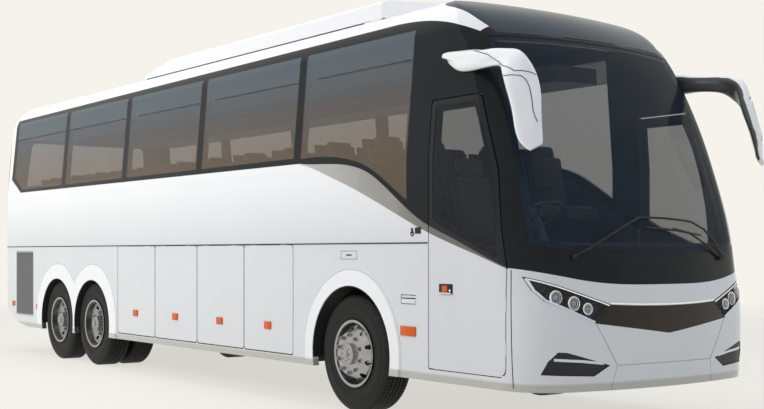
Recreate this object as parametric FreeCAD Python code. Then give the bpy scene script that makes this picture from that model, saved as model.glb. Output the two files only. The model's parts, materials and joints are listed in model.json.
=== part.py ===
import FreeCAD, Part
import math
import os

# Three-axle coach, built in millimetres. +X is forward, +Y is the left side, +Z is up.
# The origin is on the ground under the middle of the whole coach.

# Driving dimensions
body_length = 11600.0
body_width = 2550.0
roof_height = 3600.0
front_overhang = 2550.0
wheelbase = 5750.0
axle_spacing = 1150.0
skirt_z = 375.0
wall = 50.0
glass = 8.0
overrun = 200.0
panel_gap = 10.0
trim_gap = 4.0
seal_gap = 0.4

# Places along the coach
front_x = body_length / 2
rear_x = -body_length / 2
front_axle_x = front_x - front_overhang
drive_axle_x = front_axle_x - wheelbase
tag_axle_x = drive_axle_x - axle_spacing
half_width = body_width / 2

# Heights of the side
waist_z = 1505.0
tumble_z = 2200.0
shoulder_z = 3240.0
shoulder_in = 90.0
crown_y = 930.0
crown_drop = 70.0
shoulder_bulge = 32.0
shoulder_lean_share = 0.35
crown_lean_share = 0.2

# Front end, as shares of the front rake and of the roof height
front_rake = 1000.0
front_sweep_radius = 4200.0
front_corner_radius = 420.0
front_profile_shares = [
    (0.06, 0.02), (0.03, 0.089), (0.008, 0.158), (0.0, 0.242), (0.012, 0.282), (0.045, 0.3264),
    (0.10, 0.425), (0.27, 0.578), (0.41, 0.675), (0.595, 0.778), (0.86, 0.89), (1.10, 0.946),
    (1.45, 0.985), (2.10, 1.03),
]

# Rear end, the same way
rear_rake = 200.0
rear_sweep_radius = 9000.0
rear_corner_radius = 170.0
rear_profile_shares = [
    (0.10, 0.02), (0.02, 0.14), (0.0, 0.30), (0.02, 0.50), (0.12, 0.66), (0.36, 0.80),
    (0.80, 0.91), (1.6, 0.98), (3.0, 1.03),
]

# Where the panels meet, seen from the side: places ahead of the front axle, and heights
rear_split = -8850.0
rear_split_top = -8715.0
rear_split_bend_z = 3000.0
rear_lift_curve = [(-7500.0, 340.0), (-8100.0, 385.0), (-8540.0, 473.0), (-9000.0, 750.0),
                   (-9200.0, 1300.0)]
seam_z = 3190.0
cap_curve = [(820.0, 3720.0), (967.0, 3510.0), (1289.0, 3404.0), (1454.0, 3303.0), (1532.0, 3243.0),
             (1592.0, 3190.0)]
front_line_low = (2075.0, 1305.0)
front_line = [front_line_low, (2035.0, 1496.0), (1968.0, 2050.0), (1747.0, 2640.0), (1545.0, 3190.0)]
band_top = [(500.0, 3390.0), (966.0, 3351.0), (1193.0, 3308.0), (1401.0, 3251.0), (1540.0, 3190.0)]
band_rear_top = 3335.0
band_rear = [(-8700.0, 3500.0), (-8733.0, 2475.0), (-8325.0, 2273.0), (-850.0, 2258.0)]
accent_upper = [(-850.0, 2258.0), (-420.0, 2231.0), (-9.0, 2193.0), (222.0, 2134.0), (533.0, 1973.0),
                (1047.0, 1672.0), (1398.0, 1546.0), (1765.0, 1411.0), (2075.0, 1305.0)]
accent_lower = [(-850.0, 2250.0), (-600.0, 2194.0), (-330.0, 2109.0), (22.0, 1994.0), (676.0, 1747.0),
                (1114.0, 1585.0), (1645.0, 1426.0), (2075.0, 1296.0)]
accent_depth = 12.0

# Driver's door and its twin on the other side
door_outline = [(1114.0, 470.0), (2068.0, 470.0), (2068.0, 1310.0), (2018.0, 1560.0), (1950.0, 2050.0),
                (1725.0, 2670.0), (1114.0, 2670.0)]
door_pane_rim = 60.0
door_pane_low = [(1174.0, 1690.0), (1420.0, 1590.0), (1720.0, 1475.0), (1990.0, 1380.0)]
door_radii = [20.0, 70.0, 0, 300.0, 900.0, 60.0, 30.0]

# Side windows: pillar places ahead of the front axle, and the frame round the panes
pillar_places = [-6735.0, -4822.0, -2907.0, -912.0]
pillar_half = 62.0
window_rear = -8610.0
window_rear_lean = 330.0
window_rear_notch = 190.0
window_front = 820.0
window_low_z = 2315.0
window_high_z = 3290.0
pane_rebate = 8.4
pane_lap = 38.0
pane_front_low = [(-950.0, 2305.0), (-100.0, 2262.0), (300.0, 2150.0), (560.0, 2010.0), (820.0, 1860.0)]

# Luggage bays and their flaps
flap_places = [-4981.0, -3948.0, -2919.0, -1901.0, -956.0]
flap_low_z = 440.0
flap_corner = 30.0
marker_length = 120.0
marker_height = 70.0
marker_z = 708.0

marker_proud = 6.0
hinge_gap = 3.0
hinge_in = 6.5
hinge_length = 110.0
hinge_share = 0.2
radiator_rear = -8480.0
radiator_front = -7800.0
radiator_low_z = 533.0
radiator_high_z = 1440.0

# Front end, seen from the front: places across and heights
band_bottom = [(0.0, 1174.0), (500.0, 1181.0), (800.0, 1210.0), (950.0, 1236.0), (1130.0, 1272.0),
               (1300.0, 1315.0)]
screen_low = [(0.0, 1420.0), (600.0, 1428.0), (1000.0, 1450.0), (1185.0, 1490.0)]
screen_side = [(1185.0, 1490.0), (1164.0, 2088.0), (1136.0, 2442.0), (1103.0, 2818.0), (1050.0, 3150.0)]
screen_top = [(0.0, 3172.0), (600.0, 3168.0), (1050.0, 3150.0)]
screen_lap = 45.0
screen_glass = 10.0
lamp_outline = [(593.0, 1027.0), (1222.0, 1243.0), (1190.0, 1140.0), (1130.0, 1055.0), (744.0, 887.0)]
grille_top = [(593.0, 1027.0), (300.0, 1014.0), (0.0, 1010.0)]
grille_low = (744.0, 887.0)
grille_tip_z = 794.0
fog_outline = [(606.0, 568.0), (989.0, 675.0), (1056.0, 679.0), (1117.0, 610.0), (1155.0, 509.0),
               (747.0, 488.0)]
lamp_depth = 90.0
grille_depth = 25.0
lens_depth = 6.0
lamp_rim = 10.0
lamp_rear = 2080.0
lamp_pocket = 60.0
projectors = [(1050.0, 1085.0, 58.0), (915.0, 1040.0, 58.0), (800.0, 998.0, 48.0)]
projector_wall = 8.0
projector_set = 12.0
projector_bowl = 40.0
fog_depth = 40.0
fog_set = 8.0
seam_depth = 6.0
bumper_seam_low_y = 585.0
seam_width = 5.0
bumper_groove_z = 565.0
bumper_seam_y = 540.0

# Rear wall, seen from behind
lid_half = 900.0
lid_hinge_out = 1.0
lid_low_z = 820.0
lid_high_z = 1800.0
rear_glass_low_z = 2260.0
rear_glass_high_z = 3080.0
rear_glass_low_half = 1010.0
rear_glass_top_half = 930.0
rear_glass_corner = 90.0
# the rear wall's header is a panel of its own above this height
rear_header_z = 3250.0
rear_lamp_y = 1150.0
rear_lamp_depth = 15.0
rear_lamp_heights = [(1200.0, 2000.0), (2300.0, 3200.0)]

# Roof pod: places ahead of the front axle
pod_rear = -5000.0
pod_rear_top = -4350.0
pod_front_top = -50.0
pod_nose = 520.0
pod_chin = -600.0
pod_foot_z = 3450.0
pod_step = 12.0
pod_top_z = 3720.0
pod_nose_z = 3625.0
pod_half = 900.0
pod_nose_half = 620.0
pod_round = 45.0

# Wheels
tyre_radius = 522.0
tyre_width = 290.0
rim_radius = 300.0
wheel_face_y = 1245.0
twin_gap = 45.0
arch_radius = 605.0
rear_arch_radius = 552.0
arch_trim_radius = 745.0
arch_trim_proud = 14.0
moulding_slope = 12.0

# Tyres and rims
bead_seat = 14.0
bead_out = 22.0
bead_in = 14.0
wall_r = 410.0
shoulder_r = 500.0
shoulder_out = 18.0
tread_out = 34.0
rim_wall = 10.0
lip_out = 4.0
disc_wall = 12.0
disc_root = 70.0
cap_radius = 95.0
cap_flat_share = 0.8
cap_out = 85.0
cap_round = 14.0
nut_face_radius = 190.0
nut_face_out = 30.0
hub_depth = 195.0
spindle_in = 60.0
hand_hole_count = 10
hand_hole_radius = 24.0
dish_depth = 125.0
dish_root = 80.0
twin_pitch = tyre_width + twin_gap

# Axles
eye_height = 140.0
eye_radius = 60.0
beam_step = 20.0
arm_height = 40.0
web_half = 60.0
web_depth = 34.0
lever_reach = 220.0
spring_radius = 95.0
spring_groove = 14.0
differential_radius = 185.0
kingpin_y = 930.0
kingpin_radius = 22.0
spindle_radius = 34.0
hub_radius = 90.0
bearing_gap = 0.5
running_gap = 6.0
beam_half = 55.0
axle_tube_radius = 75.0
rail_y = 420.0
rail_width = 80.0
rail_low_z = 700.0
rail_high_z = 900.0

# Floors and walls inside
bay_floor_z = 375.0
bay_floor_wall = 45.0
deck_z = 1400.0
deck_wall = 60.0
plate_wall = 24.0
housing_y = 560.0
housing_front = 700.0
cab_floor_z = 960.0
plate_drop = 250.0
rail_rear = -8900.0
rail_front = 2380.0
jack_places = [-7800.0, -500.0]
jack_drop = 25.0
rear_crossings = [-8860.0, -7500.0, -6330.0, -5150.0]
front_crossings = [-800.0, 760.0, 2330.0]
cross_step = 30.0
deck_rear = -8900.0
housing_rear = -7600.0
step_front = 900.0
cab_floor_front = 2330.0
engine_rear = -8800.0
engine_front = -7650.0
engine_low_z = 480.0
engine_high_z = 1180.0

# Seats, racks and cab
seat_rows = 11
seat_first = 180.0
seat_pitch = 780.0
seat_wall_gap = 30.0
aisle_half = 210.0
seat_foot = 300.0
seat_depth = 520.0
seat_height = 460.0
seat_pad = 110.0
seat_back = 110.0
seat_rake = 150.0
seat_top = 1080.0
driver_x = 980.0
driver_y = 640.0
driver_width = 520.0
driver_height = 520.0
driver_top = 1290.0
rack_rear = -8300.0
rack_front = 650.0
rack_outer = 1200.0
rack_inner = 640.0
rack_lip = 60.0
rack_low_z = 3030.0
rack_high_z = 3180.0
dash_rear = 1960.0
dash_front = 2230.0
dash_half = 1050.0
dash_hood = 90.0
dash_mid_z = 1400.0
dash_top_z = 1500.0
column_radius = 32.0
column_length = 545.0
column_angle = 62.0
steer_x = 1720.0
steer_z = 1700.0
steer_radius = 230.0
steer_grip = 16.0
steer_hub = 60.0

# Mirrors, wipers and louvres
# each row: the middle of a section, half its length as a direction, and half its thickness
mirror_sections = [
    ((1220.0, 1190.0, 3018.0), (0.0, 0.0, 20.0), 22.0), ((1430.0, 1203.0, 2954.0), (0.0, 0.0, 78.0), 46.0),
    ((1750.0, 1225.0, 2922.0), (0.0, 0.0, 75.0), 50.0), ((2040.0, 1268.0, 2893.0), (0.0, 0.0, 74.0), 50.0),
    ((2190.0, 1305.0, 2825.0), (64.0, -55.0, 66.0), 55.0),
    ((2268.0, 1308.0, 2700.0), (72.0, -102.0, 0.0), 55.0),
    ((2336.0, 1316.0, 2500.0), (64.0, -92.0, 0.0), 50.0),
    ((2394.0, 1322.0, 2250.0), (50.0, -71.0, 0.0), 32.0),
    ((2428.0, 1305.0, 2190.0), (30.0, -43.0, 0.0), 18.0),
]
mirror_head = [5, 7]
mirror_square_share = 0.8
mirror_pane_shares = (0.8, 0.55)
mirror_round = 22.0
wiper_pivot = (-844.0, 1373.0)
wiper_mid = (-200.0, 1560.0)
wiper_blade_ends = [(-700.0, 1530.0), (250.0, 1590.0)]
wiper_arm_width = 26.0
wiper_blade_width = 18.0
wiper_lift = 25.0
wiper_stand = 45.0
wiper_boss = 32.0
louvre_depth = 40.0
louvre_frame = 22.0
louvre_pitch = 34.0
louvre_wall = 7.0
louvre_set = 5.0


def vec(x, y, z):
    return FreeCAD.Vector(x, y, z)


def box(x0, x1, y0, y1, z0, z1):
    """A box between two corners."""
    return Part.makeBox(x1 - x0, y1 - y0, z1 - z0, vec(x0, y0, z0))


def rounded_wire(points, radii):
    """A closed wire through points, each corner rounded with its own radius (0 keeps it sharp)."""
    count = len(points)
    if not isinstance(radii, (list, tuple)):
        radii = [radii] * count
    entries, exits, mids = [], [], []
    for i in range(count):
        corner = points[i]
        to_last = (points[i - 1] - corner).normalize()
        to_next = (points[(i + 1) % count] - corner).normalize()
        half = to_last.getAngle(to_next) / 2
        if radii[i] == 0 or abs(half - math.pi / 2) < 1e-6:
            entries.append(corner)
            exits.append(corner)
            mids.append(None)
            continue
        setback = radii[i] / math.tan(half)
        reach = radii[i] / math.sin(half) - radii[i]
        entries.append(corner + to_last * setback)
        exits.append(corner + to_next * setback)
        mids.append(corner + (to_last + to_next).normalize() * reach)
    edges = []
    for i in range(count):
        if mids[i] is not None:
            edges.append(Part.Arc(entries[i], mids[i], exits[i]).toShape())
        start, end = exits[i], entries[(i + 1) % count]
        if (end - start).Length > 1e-6:
            edges.append(Part.LineSegment(start, end).toShape())
    return Part.Wire(edges)


def prism(points, radii, along):
    """A solid pushed out along a vector from a rounded outline."""
    return Part.Face(rounded_wire(points, radii)).extrude(along)


def side_prism(outline, radii=0, y0=-2 * half_width, y1=2 * half_width):
    """A prism across the coach from an outline in X and Z."""
    return prism([vec(x, y0, z) for x, z in outline], radii, vec(0, y1 - y0, 0))


def front_prism(outline, radii=0, x0=0.0, x1=front_x + overrun):
    """A prism along the coach from an outline in Y and Z."""
    return prism([vec(x0, y, z) for y, z in outline], radii, vec(x1 - x0, 0, 0))


def plan_prism(outline, z0, z1, radii=0):
    """An upright prism from an outline in X and Y."""
    return prism([vec(x, y, z0) for x, y in outline], radii, vec(0, 0, z1 - z0))


def other_side(shape):
    """The same shape on the other side of the coach."""
    return shape.mirror(vec(0, 0, 0), vec(0, 1, 0))


def both_sides(shape):
    """A shape and its twin, as one compound."""
    return Part.makeCompound([shape, other_side(shape)])


def turned(profile, x, z):
    """A solid of revolution about an axle line: profile points are (radius, y)."""
    points = [vec(x, y, z + r) for r, y in profile]
    points.append(points[0])
    face = Part.Face(Part.makePolygon(points))
    return face.revolve(vec(x, 0, z), vec(0, 1, 0), 360)


def tube_y(x, z, radius, y0, y1):
    """A cylinder across the coach."""
    return Part.makeCylinder(radius, y1 - y0, vec(x, y0, z), vec(0, 1, 0))


def ahead(distance):
    """The X of a place given ahead of the front axle."""
    return front_axle_x + distance


# Body form

def section_face(inset):
    """The cross-section of the body, moved in by a wall thickness."""
    side_y = half_width - inset
    cant_y = half_width - shoulder_in - inset
    cant_z = shoulder_z - inset * shoulder_lean_share
    crown_in_y = crown_y - inset * crown_lean_share
    crown_z = roof_height - crown_drop - inset
    bend_y = (cant_y + crown_in_y) / 2 + shoulder_bulge
    bend_z = (cant_z + crown_z) / 2 + shoulder_bulge
    low_z = skirt_z - 2 * overrun + inset
    cant, bend, crown = vec(0, cant_y, cant_z), vec(0, bend_y, bend_z), vec(0, crown_in_y, crown_z)
    far_cant, far_bend, far_crown = (vec(0, -p.y, p.z) for p in (cant, bend, crown))
    waist, far_waist = vec(0, side_y, tumble_z), vec(0, -side_y, tumble_z)
    foot, far_foot = vec(0, side_y, low_z), vec(0, -side_y, low_z)
    edges = [
        Part.LineSegment(foot, waist).toShape(),
        Part.LineSegment(waist, cant).toShape(),
        Part.Arc(cant, bend, crown).toShape(),
        Part.Arc(crown, vec(0, 0, roof_height - inset), far_crown).toShape(),
        Part.Arc(far_crown, far_bend, far_cant).toShape(),
        Part.LineSegment(far_cant, far_waist).toShape(),
        Part.LineSegment(far_waist, far_foot).toShape(),
        Part.LineSegment(far_foot, foot).toShape(),
    ]
    return Part.Face(Part.Wire(edges))


def plan_points(inset, sweep_radius, corner_radius, steps=7):
    """Plan curve of an end, as (distance back from the end, y), with a tangent corner arc."""
    edge = half_width + seal_gap - inset
    sweep = sweep_radius - inset
    corner = corner_radius - inset
    meet_y = (edge - corner) / (1 - corner / sweep)
    meet_angle = math.asin(meet_y / sweep)
    centre_x = sweep - (sweep - corner) * math.cos(meet_angle)
    half = []
    for i in range(steps):
        angle = meet_angle * i / steps
        half.append((sweep * (1 - math.cos(angle)), sweep * math.sin(angle)))
    for i in range(steps + 1):
        angle = meet_angle + (math.pi / 2 - meet_angle) * i / steps
        half.append((centre_x - corner * math.cos(angle), edge - corner + corner * math.sin(angle)))
    return [(back, -y) for back, y in reversed(half[1:])] + half


def end_cutter(inset, direction, rake, shares, sweep_radius, corner_radius):
    """Everything beyond an end of the body: the plan curve slid along the side profile, pushed outwards."""
    plan = Part.BSplineCurve()
    plan.interpolate([vec(-direction * back, y, 0) for back,
                      y in plan_points(inset, sweep_radius, corner_radius)])
    profile = Part.BSplineCurve()
    end = direction * (body_length / 2 - inset * 1.1)
    profile.interpolate([vec(end - direction * rake * back, 0, roof_height * up) for back, up in shares])
    poles = [[p + q for q in profile.getPoles()] for p in plan.getPoles()]
    surface = Part.BSplineSurface()
    surface.buildFromPolesMultsKnots(
        poles, plan.getMultiplicities(), profile.getMultiplicities(), plan.getKnots(), profile.getKnots(),
        False, False, plan.Degree, profile.Degree)
    return surface.toShape().extrude(vec(direction * body_length / 2, 0, 0))


made_forms = {}


def body_form(inset):
    """The whole body as one solid, moved in by a wall thickness, made once for each thickness."""
    if inset in made_forms:
        return made_forms[inset]
    start = vec(rear_x - overrun, 0, 0)
    form = section_face(inset).translated(start).extrude(vec(body_length + 2 * overrun, 0, 0))
    form = form.cut(end_cutter(inset, 1, front_rake, front_profile_shares, front_sweep_radius,
                               front_corner_radius))
    made_forms[inset] = form.cut(end_cutter(inset, -1, rear_rake, rear_profile_shares, rear_sweep_radius,
                                            rear_corner_radius))
    return made_forms[inset]


def grown(points, by):
    """An outline of straight sides moved out (or in, if negative) by a distance."""
    area = sum(points[i - 1][0] * points[i][1] - points[i][0] * points[i - 1][1] for i in range(len(points)))
    turn = 1 if area > 0 else -1
    moved = []
    for i, (a, b) in enumerate(points):
        before, after = points[i - 1], points[(i + 1) % len(points)]
        d0 = (a - before[0], b - before[1])
        d1 = (after[0] - a, after[1] - b)
        l0, l1 = math.hypot(*d0), math.hypot(*d1)
        n0 = (turn * d0[1] / l0, -turn * d0[0] / l0)
        n1 = (turn * d1[1] / l1, -turn * d1[0] / l1)
        share = by / (1 + n0[0] * n1[0] + n0[1] * n1[1])
        moved.append((a + share * (n0[0] + n1[0]), b + share * (n0[1] + n1[1])))
    return moved


def closed_wire(runs, place):
    """A closed wire: a run of two points is straight, a longer one is a smooth curve through its points."""
    edges = []
    runs = [[place(a, b) for a, b in run] for run in runs]
    for i, run in enumerate(runs):
        if len(run) == 2:
            edges.append(Part.LineSegment(*run).toShape())
        else:
            curve = Part.BSplineCurve()
            curve.interpolate(run)
            edges.append(curve.toShape())
        following = runs[(i + 1) % len(runs)][0]
        if (following - run[-1]).Length > 1e-6:
            edges.append(Part.LineSegment(run[-1], following).toShape())
    return Part.Wire(edges)


def side_slab(runs, y0=-2 * half_width, y1=2 * half_width):
    """A slab across the coach from runs of (ahead of the front axle, height)."""
    wire = closed_wire(runs, lambda a, z: vec(ahead(a), y0, z))
    return Part.Face(wire).extrude(vec(0, y1 - y0, 0))


def front_slab(runs, x0=0.0, x1=front_x + overrun):
    """A slab along the coach from runs of (y, height)."""
    wire = closed_wire(runs, lambda y, z: vec(x0, y, z))
    return Part.Face(wire).extrude(vec(x1 - x0, 0, 0))


def at(points):
    """Side points given ahead of the front axle, as X and Z."""
    return [(ahead(a), z) for a, z in points]


def right_half(shape):
    """The solids of a shape on the right side, without slivers."""
    return Part.makeCompound([s for s in shape.Solids if s.CenterOfMass.y < 0 and s.Volume > trim_gap ** 3])


def joined(shapes):
    """One solid from shapes that meet."""
    return shapes[0].fuse(shapes[1:]).removeSplitter()


def straight(*points):
    """Straight runs through points."""
    return [[points[i], points[i + 1]] for i in range(len(points) - 1)]


# Body panels

def region_solids():
    """The slabs that split the shell into panels, in the order they are taken."""
    rear = side_slab(straight((far_back, -far_up), (rear_split, -far_up), (rear_split, rear_split_bend_z),
                              (rear_split_top, band_rear_top), (rear_split_top, far_up),
                              (far_back, far_up)))
    cap = side_slab([cap_curve] + straight(cap_curve[-1], (far_front, seam_z), (far_front, far_up),
                                           (cap_curve[0][0], far_up)))
    front = side_slab([front_line] + straight(front_line[-1], (far_front, seam_z), (far_front, -far_up),
                                              (front_line[0][0], -far_up)))
    roof = side_slab([band_top] + straight(band_top[-1], (band_top[-1][0], far_up), (far_back, far_up),
                                           (far_back, band_rear_top), (band_rear[0][0], band_rear_top),
                                           band_top[0]))
    band = side_slab([accent_upper] + straight(accent_upper[-1], (far_front, accent_upper[-1][1]),
                                               (far_front, far_up),
                                               (band_rear[0][0], far_up), *band_rear))
    return rear, cap, front, roof, band


far_back = 2 * rear_x
far_front = 2 * front_x
far_up = 2 * roof_height


def wheel_places():
    """Axle places with their arch radius."""
    return [(front_axle_x, arch_radius), (drive_axle_x, rear_arch_radius), (tag_axle_x, rear_arch_radius)]


def layer(slab, depth, start=0.0):
    """The part of a slab that lies in the body's skin, between two depths."""
    skin = outer if start == 0 else body_form(start)
    return slab.common(skin).cut(body_form(depth))


def flap_outline(i):
    """The outline of a luggage flap, as X and Z."""
    x0, x1 = ahead(flap_places[i]), ahead(flap_places[i + 1])
    return [(x0, flap_low_z), (x1, flap_low_z), (x1, waist_z), (x0, waist_z)]


def pane_outlines():
    """The outlines of the side panes, from the rear forwards, as straight or curved runs."""
    edges = [window_rear] + pillar_places + [window_front]
    outlines = []
    for i in range(len(edges) - 1):
        x0 = edges[i] + (pillar_half if i else 0)
        x1 = edges[i + 1] - (pillar_half if i < len(edges) - 2 else 0)
        top = (x1, window_high_z), (x0, window_high_z)
        if i == 0:
            notch = (window_rear + window_rear_lean, window_low_z), (x1, window_low_z)
            outlines.append(straight((x0, window_low_z + window_rear_notch), *notch, *top,
                                     (x0, window_low_z + window_rear_notch)))
        elif i == len(edges) - 2:
            low = [(x0, pane_front_low[0][1])] + pane_front_low[1:]
            outlines.append([low] + straight(low[-1], *top, low[0]))
        else:
            outlines.append(straight((x0, window_low_z), (x1, window_low_z), *top, (x0, window_low_z)))
    return outlines


def inset(runs, by):
    """The runs of a closed outline, moved in by a distance."""
    points = [point for run in runs for point in run[:-1]]
    moved = grown(points, -by)
    result = []
    first = 0
    for run in runs:
        last = first + len(run) - 1
        result.append([moved[i % len(moved)] for i in range(first, last + 1)])
        first = last
    return result


def side_face(runs):
    """A flat face across one side from side runs."""
    return Part.Face(closed_wire(runs, lambda a, z: vec(ahead(a), -2 * half_width, z)))


def through(face):
    """A slab across the coach from a flat side face."""
    return face.extrude(vec(0, 4 * half_width, 0))


# The doors' outlines, with the gap round them
door_hole = through(Part.Face(rounded_wire([vec(x, -2 * half_width, z) for x, z in at(door_outline)],
                                           door_radii)))
door_edge = grown(at(door_outline), -panel_gap)
door_slab = through(Part.Face(rounded_wire([vec(x, -2 * half_width, z) for x, z in door_edge], door_radii)))

outer = body_form(0)
inner = body_form(wall)
below_skirt = box(far_back, far_front, -body_width, body_width, -far_up, skirt_z)
rear_lift = side_slab([rear_lift_curve] + straight(rear_lift_curve[-1], (far_back, rear_lift_curve[-1][1]),
                                                   (far_back, -far_up), (rear_lift_curve[0][0], -far_up)))
shell = outer.cut(inner).cut([below_skirt, rear_lift])
rear_region, cap_region, front_region, roof_region, band_region = region_solids()
rear_shell = shell.common(rear_region)
rest = shell.cut(rear_region)
front_cap = rest.common(cap_region)
rest = rest.cut(cap_region)
front_shell = rest.common(front_region)
rest = rest.cut(front_region)
roof = rest.common(roof_region)
rest = rest.cut(roof_region)
band = rest.common(band_region)
low_side = rest.cut(band_region)


# Side panels with their openings, on the right; the left ones are their mirror image

def hinge_pin(base, along):
    """A hinge pin that fills the gap beside the piece that swings on it."""
    return Part.makeCylinder(hinge_in - seal_gap, along.Length, base, along)


def flap_hinges(x0, x1):
    """The pins at the top edge of one luggage flap, on the right."""
    z = waist_z - hinge_gap - panel_gap + hinge_in
    places = (x0 + (x1 - x0) * hinge_share, x1 - (x1 - x0) * hinge_share)
    return [hinge_pin(vec(x - hinge_length / 2, -half_width, z), vec(hinge_length, 0, 0)) for x in places]


def door_hinges():
    """The pins at the front edge of the driver's door."""
    (x, low_z), (_, high_z) = at(door_outline[1:3])
    x += hinge_in - panel_gap
    run = high_z - low_z
    return [hinge_pin(vec(x, -half_width, low_z + run * share), vec(0, 0, hinge_length))
            for share in (hinge_share, 1 - hinge_share * 2)]


def arch_cut():
    """The wheel openings of one side."""
    return [tube_y(x, tyre_radius, radius, -body_width, 0) for x, radius in wheel_places()]


def arch_mouldings():
    """The raised rings round the wheel openings of the right side, with sloped rims."""
    shapes = []
    for x, _ in wheel_places():
        slope = Part.makeCone(arch_trim_radius, arch_trim_radius - moulding_slope, arch_trim_proud,
                              vec(x, -half_width, tyre_radius), vec(0, -1, 0))
        shapes.append(slope.fuse(tube_y(x, tyre_radius, arch_trim_radius, -half_width, -half_width + wall)))
    floor_cut = box(far_back, far_front, -body_width, 0, -far_up, skirt_z)
    return [shape.cut(floor_cut) for shape in shapes]


accents = right_half(layer(side_slab([accent_upper, accent_lower[::-1]]), accent_depth))
low_side = right_half(low_side).cut(accents)
band = right_half(band)
door_low = low_side.common(door_slab)
door_high = band.common(door_slab)
door_accent = accents.common(door_slab)
low_side = low_side.cut(door_hole)
band = band.cut(door_hole)
accents = right_half(accents.cut(door_hole))

flaps = []
flap_holes = []
hinge_pins = door_hinges()
for i in range(len(flap_places) - 1):
    outline = flap_outline(i)
    hole = side_prism(grown(outline, -hinge_gap), flap_corner)
    flap = side_prism(grown(outline, -hinge_gap - panel_gap), flap_corner)
    marker_x = (outline[0][0] + outline[1][0]) / 2
    marker = box(marker_x - marker_length / 2, marker_x + marker_length / 2, -half_width - marker_proud,
                 -half_width + seal_gap,
                 marker_z - marker_height / 2, marker_z + marker_height / 2)
    flap_holes.append(hole)
    hinge_pins += flap_hinges(outline[0][0], outline[1][0])
    flaps.append(low_side.common(flap).fuse(marker))
low_side = low_side.cut(flap_holes)
radiator_x = ahead(radiator_rear), ahead(radiator_front)
radiator_hole = box(*radiator_x, -body_width, 0, radiator_low_z, radiator_high_z)
low_side = low_side.fuse(arch_mouldings()).cut(arch_cut() + [radiator_hole]).fuse(hinge_pins)
band_holes = []
pane_slabs = []
for outline in pane_outlines():
    pane_slabs.append(through(side_face(outline)))
    band_holes.append(through(side_face(inset(outline, pane_lap))))
panes = [right_half(layer(through(side_face(inset(outline, seal_gap))),
                          glass)) for outline in pane_outlines()]
seats = [right_half(layer(slab, pane_rebate)) for slab in pane_slabs]
band = band.cut(seats).cut(band_holes)

# Front panels

def mirrored(points):
    """A curve across the coach from its left half, given from the middle outwards."""
    return [(-y, z) for y, z in reversed(points[1:])] + list(points)


def far_side(points):
    """The points of an outline on the other side of the coach."""
    return [(-y, z) for y, z in points]


def loop(points):
    """Straight runs through points and back to the first."""
    return straight(*points, points[0])


def strip(start, end, width):
    """A thin straight strip as an outline, for a seam."""
    run = (end[0] - start[0], end[1] - start[1])
    length = math.hypot(*run)
    off = (-run[1] / length * width / 2, run[0] / length * width / 2)
    return [(start[0] + off[0], start[1] + off[1]), (end[0] + off[0], end[1] + off[1]),
            (end[0] - off[0], end[1] - off[1]), (start[0] - off[0], start[1] - off[1])]


def bumper_seams():
    """The joint lines of the bumper, cut as shallow grooves."""
    lines = [(grille_low, (bumper_seam_y, bumper_groove_z)),
             ((bumper_seam_y, bumper_groove_z), (bumper_seam_low_y, skirt_z - seam_width))]
    slabs = [front_slab(loop(strip((-bumper_seam_y, bumper_groove_z), (bumper_seam_y, bumper_groove_z),
                                   seam_width)))]
    for start, end in lines:
        slabs.append(front_slab(loop(strip(start, end, seam_width))))
        slabs.append(front_slab(loop(far_side(strip(start, end, seam_width)))))
    return [layer(slab, seam_depth) for slab in slabs]


def lamp_tray(outline):
    """A lamp's housing: a tray along the skin, open to the front, with its three round projectors."""
    start = ahead(lamp_rear)
    pocket = layer(front_slab(loop(grown(outline, -lamp_rim)), start), lamp_pocket)
    tray = layer(front_slab(loop(outline), start), lamp_depth).cut(pocket)
    side = 1 if outline[0][0] > 0 else -1
    for y, z, radius in projectors:
        barrel = Part.makeCylinder(radius, far_front, vec(start, side * y, z), vec(1, 0, 0))
        bowl = Part.makeCylinder(radius - projector_wall, far_front, vec(start, side * y, z), vec(1, 0, 0))
        ring = barrel.common(body_form(projector_set)).cut(body_form(lamp_pocket + projector_wall))
        tray = tray.fuse(ring.cut(layer(bowl, projector_bowl)))
    return tray


bumper_region = front_slab([mirrored(band_bottom)] + straight(
    band_bottom[-1], (far_front, band_bottom[-1][1]), (far_front, -far_up), (-far_front, -far_up),
    (-far_front, band_bottom[-1][1]), (-band_bottom[-1][0], band_bottom[-1][1])))
front_bumper = front_shell.common(bumper_region)
front_frame = front_shell.cut(bumper_region)

screen_outline = [mirrored(screen_low), screen_side, mirrored(screen_top)[::-1],
                  far_side(screen_side)[::-1]]
windscreen = layer(front_slab(inset(screen_outline, seal_gap)), screen_glass)
front_frame = front_frame.cut(layer(front_slab(screen_outline), screen_glass + seal_gap))
front_frame = front_frame.cut(front_slab(inset(screen_outline, screen_lap)))

grille_outline = [mirrored(grille_top[::-1])[::-1]] + straight(
    (grille_top[0][0] * -1, grille_top[0][1]), (-grille_low[0], grille_low[1]), (0, grille_tip_z),
    grille_low, grille_top[0])
grille_slab = front_slab(grille_outline)
grille_panel = layer(grille_slab, grille_depth)
lamp_slabs = [front_slab(loop(lamp_outline)), front_slab(loop(far_side(lamp_outline)))]
lamp_lenses = [layer(slab, lens_depth) for slab in lamp_slabs]
front_lamps = [lamp_tray(outline).cut(lamp_lenses) for outline in (lamp_outline, far_side(lamp_outline))]
fog_slabs = [front_slab(loop(fog_outline)), front_slab(loop(far_side(fog_outline)))]
fog_inserts = [layer(slab, fog_depth, fog_set) for slab in fog_slabs]
front_bumper = front_bumper.cut([grille_slab] + lamp_slabs + fog_slabs + bumper_seams())

# Rear panels

def rear_prism(outline, radii=0):
    """A prism through the rear wall from an outline in Y and Z."""
    return front_prism(outline, radii, far_back, ahead(rear_split))


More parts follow.
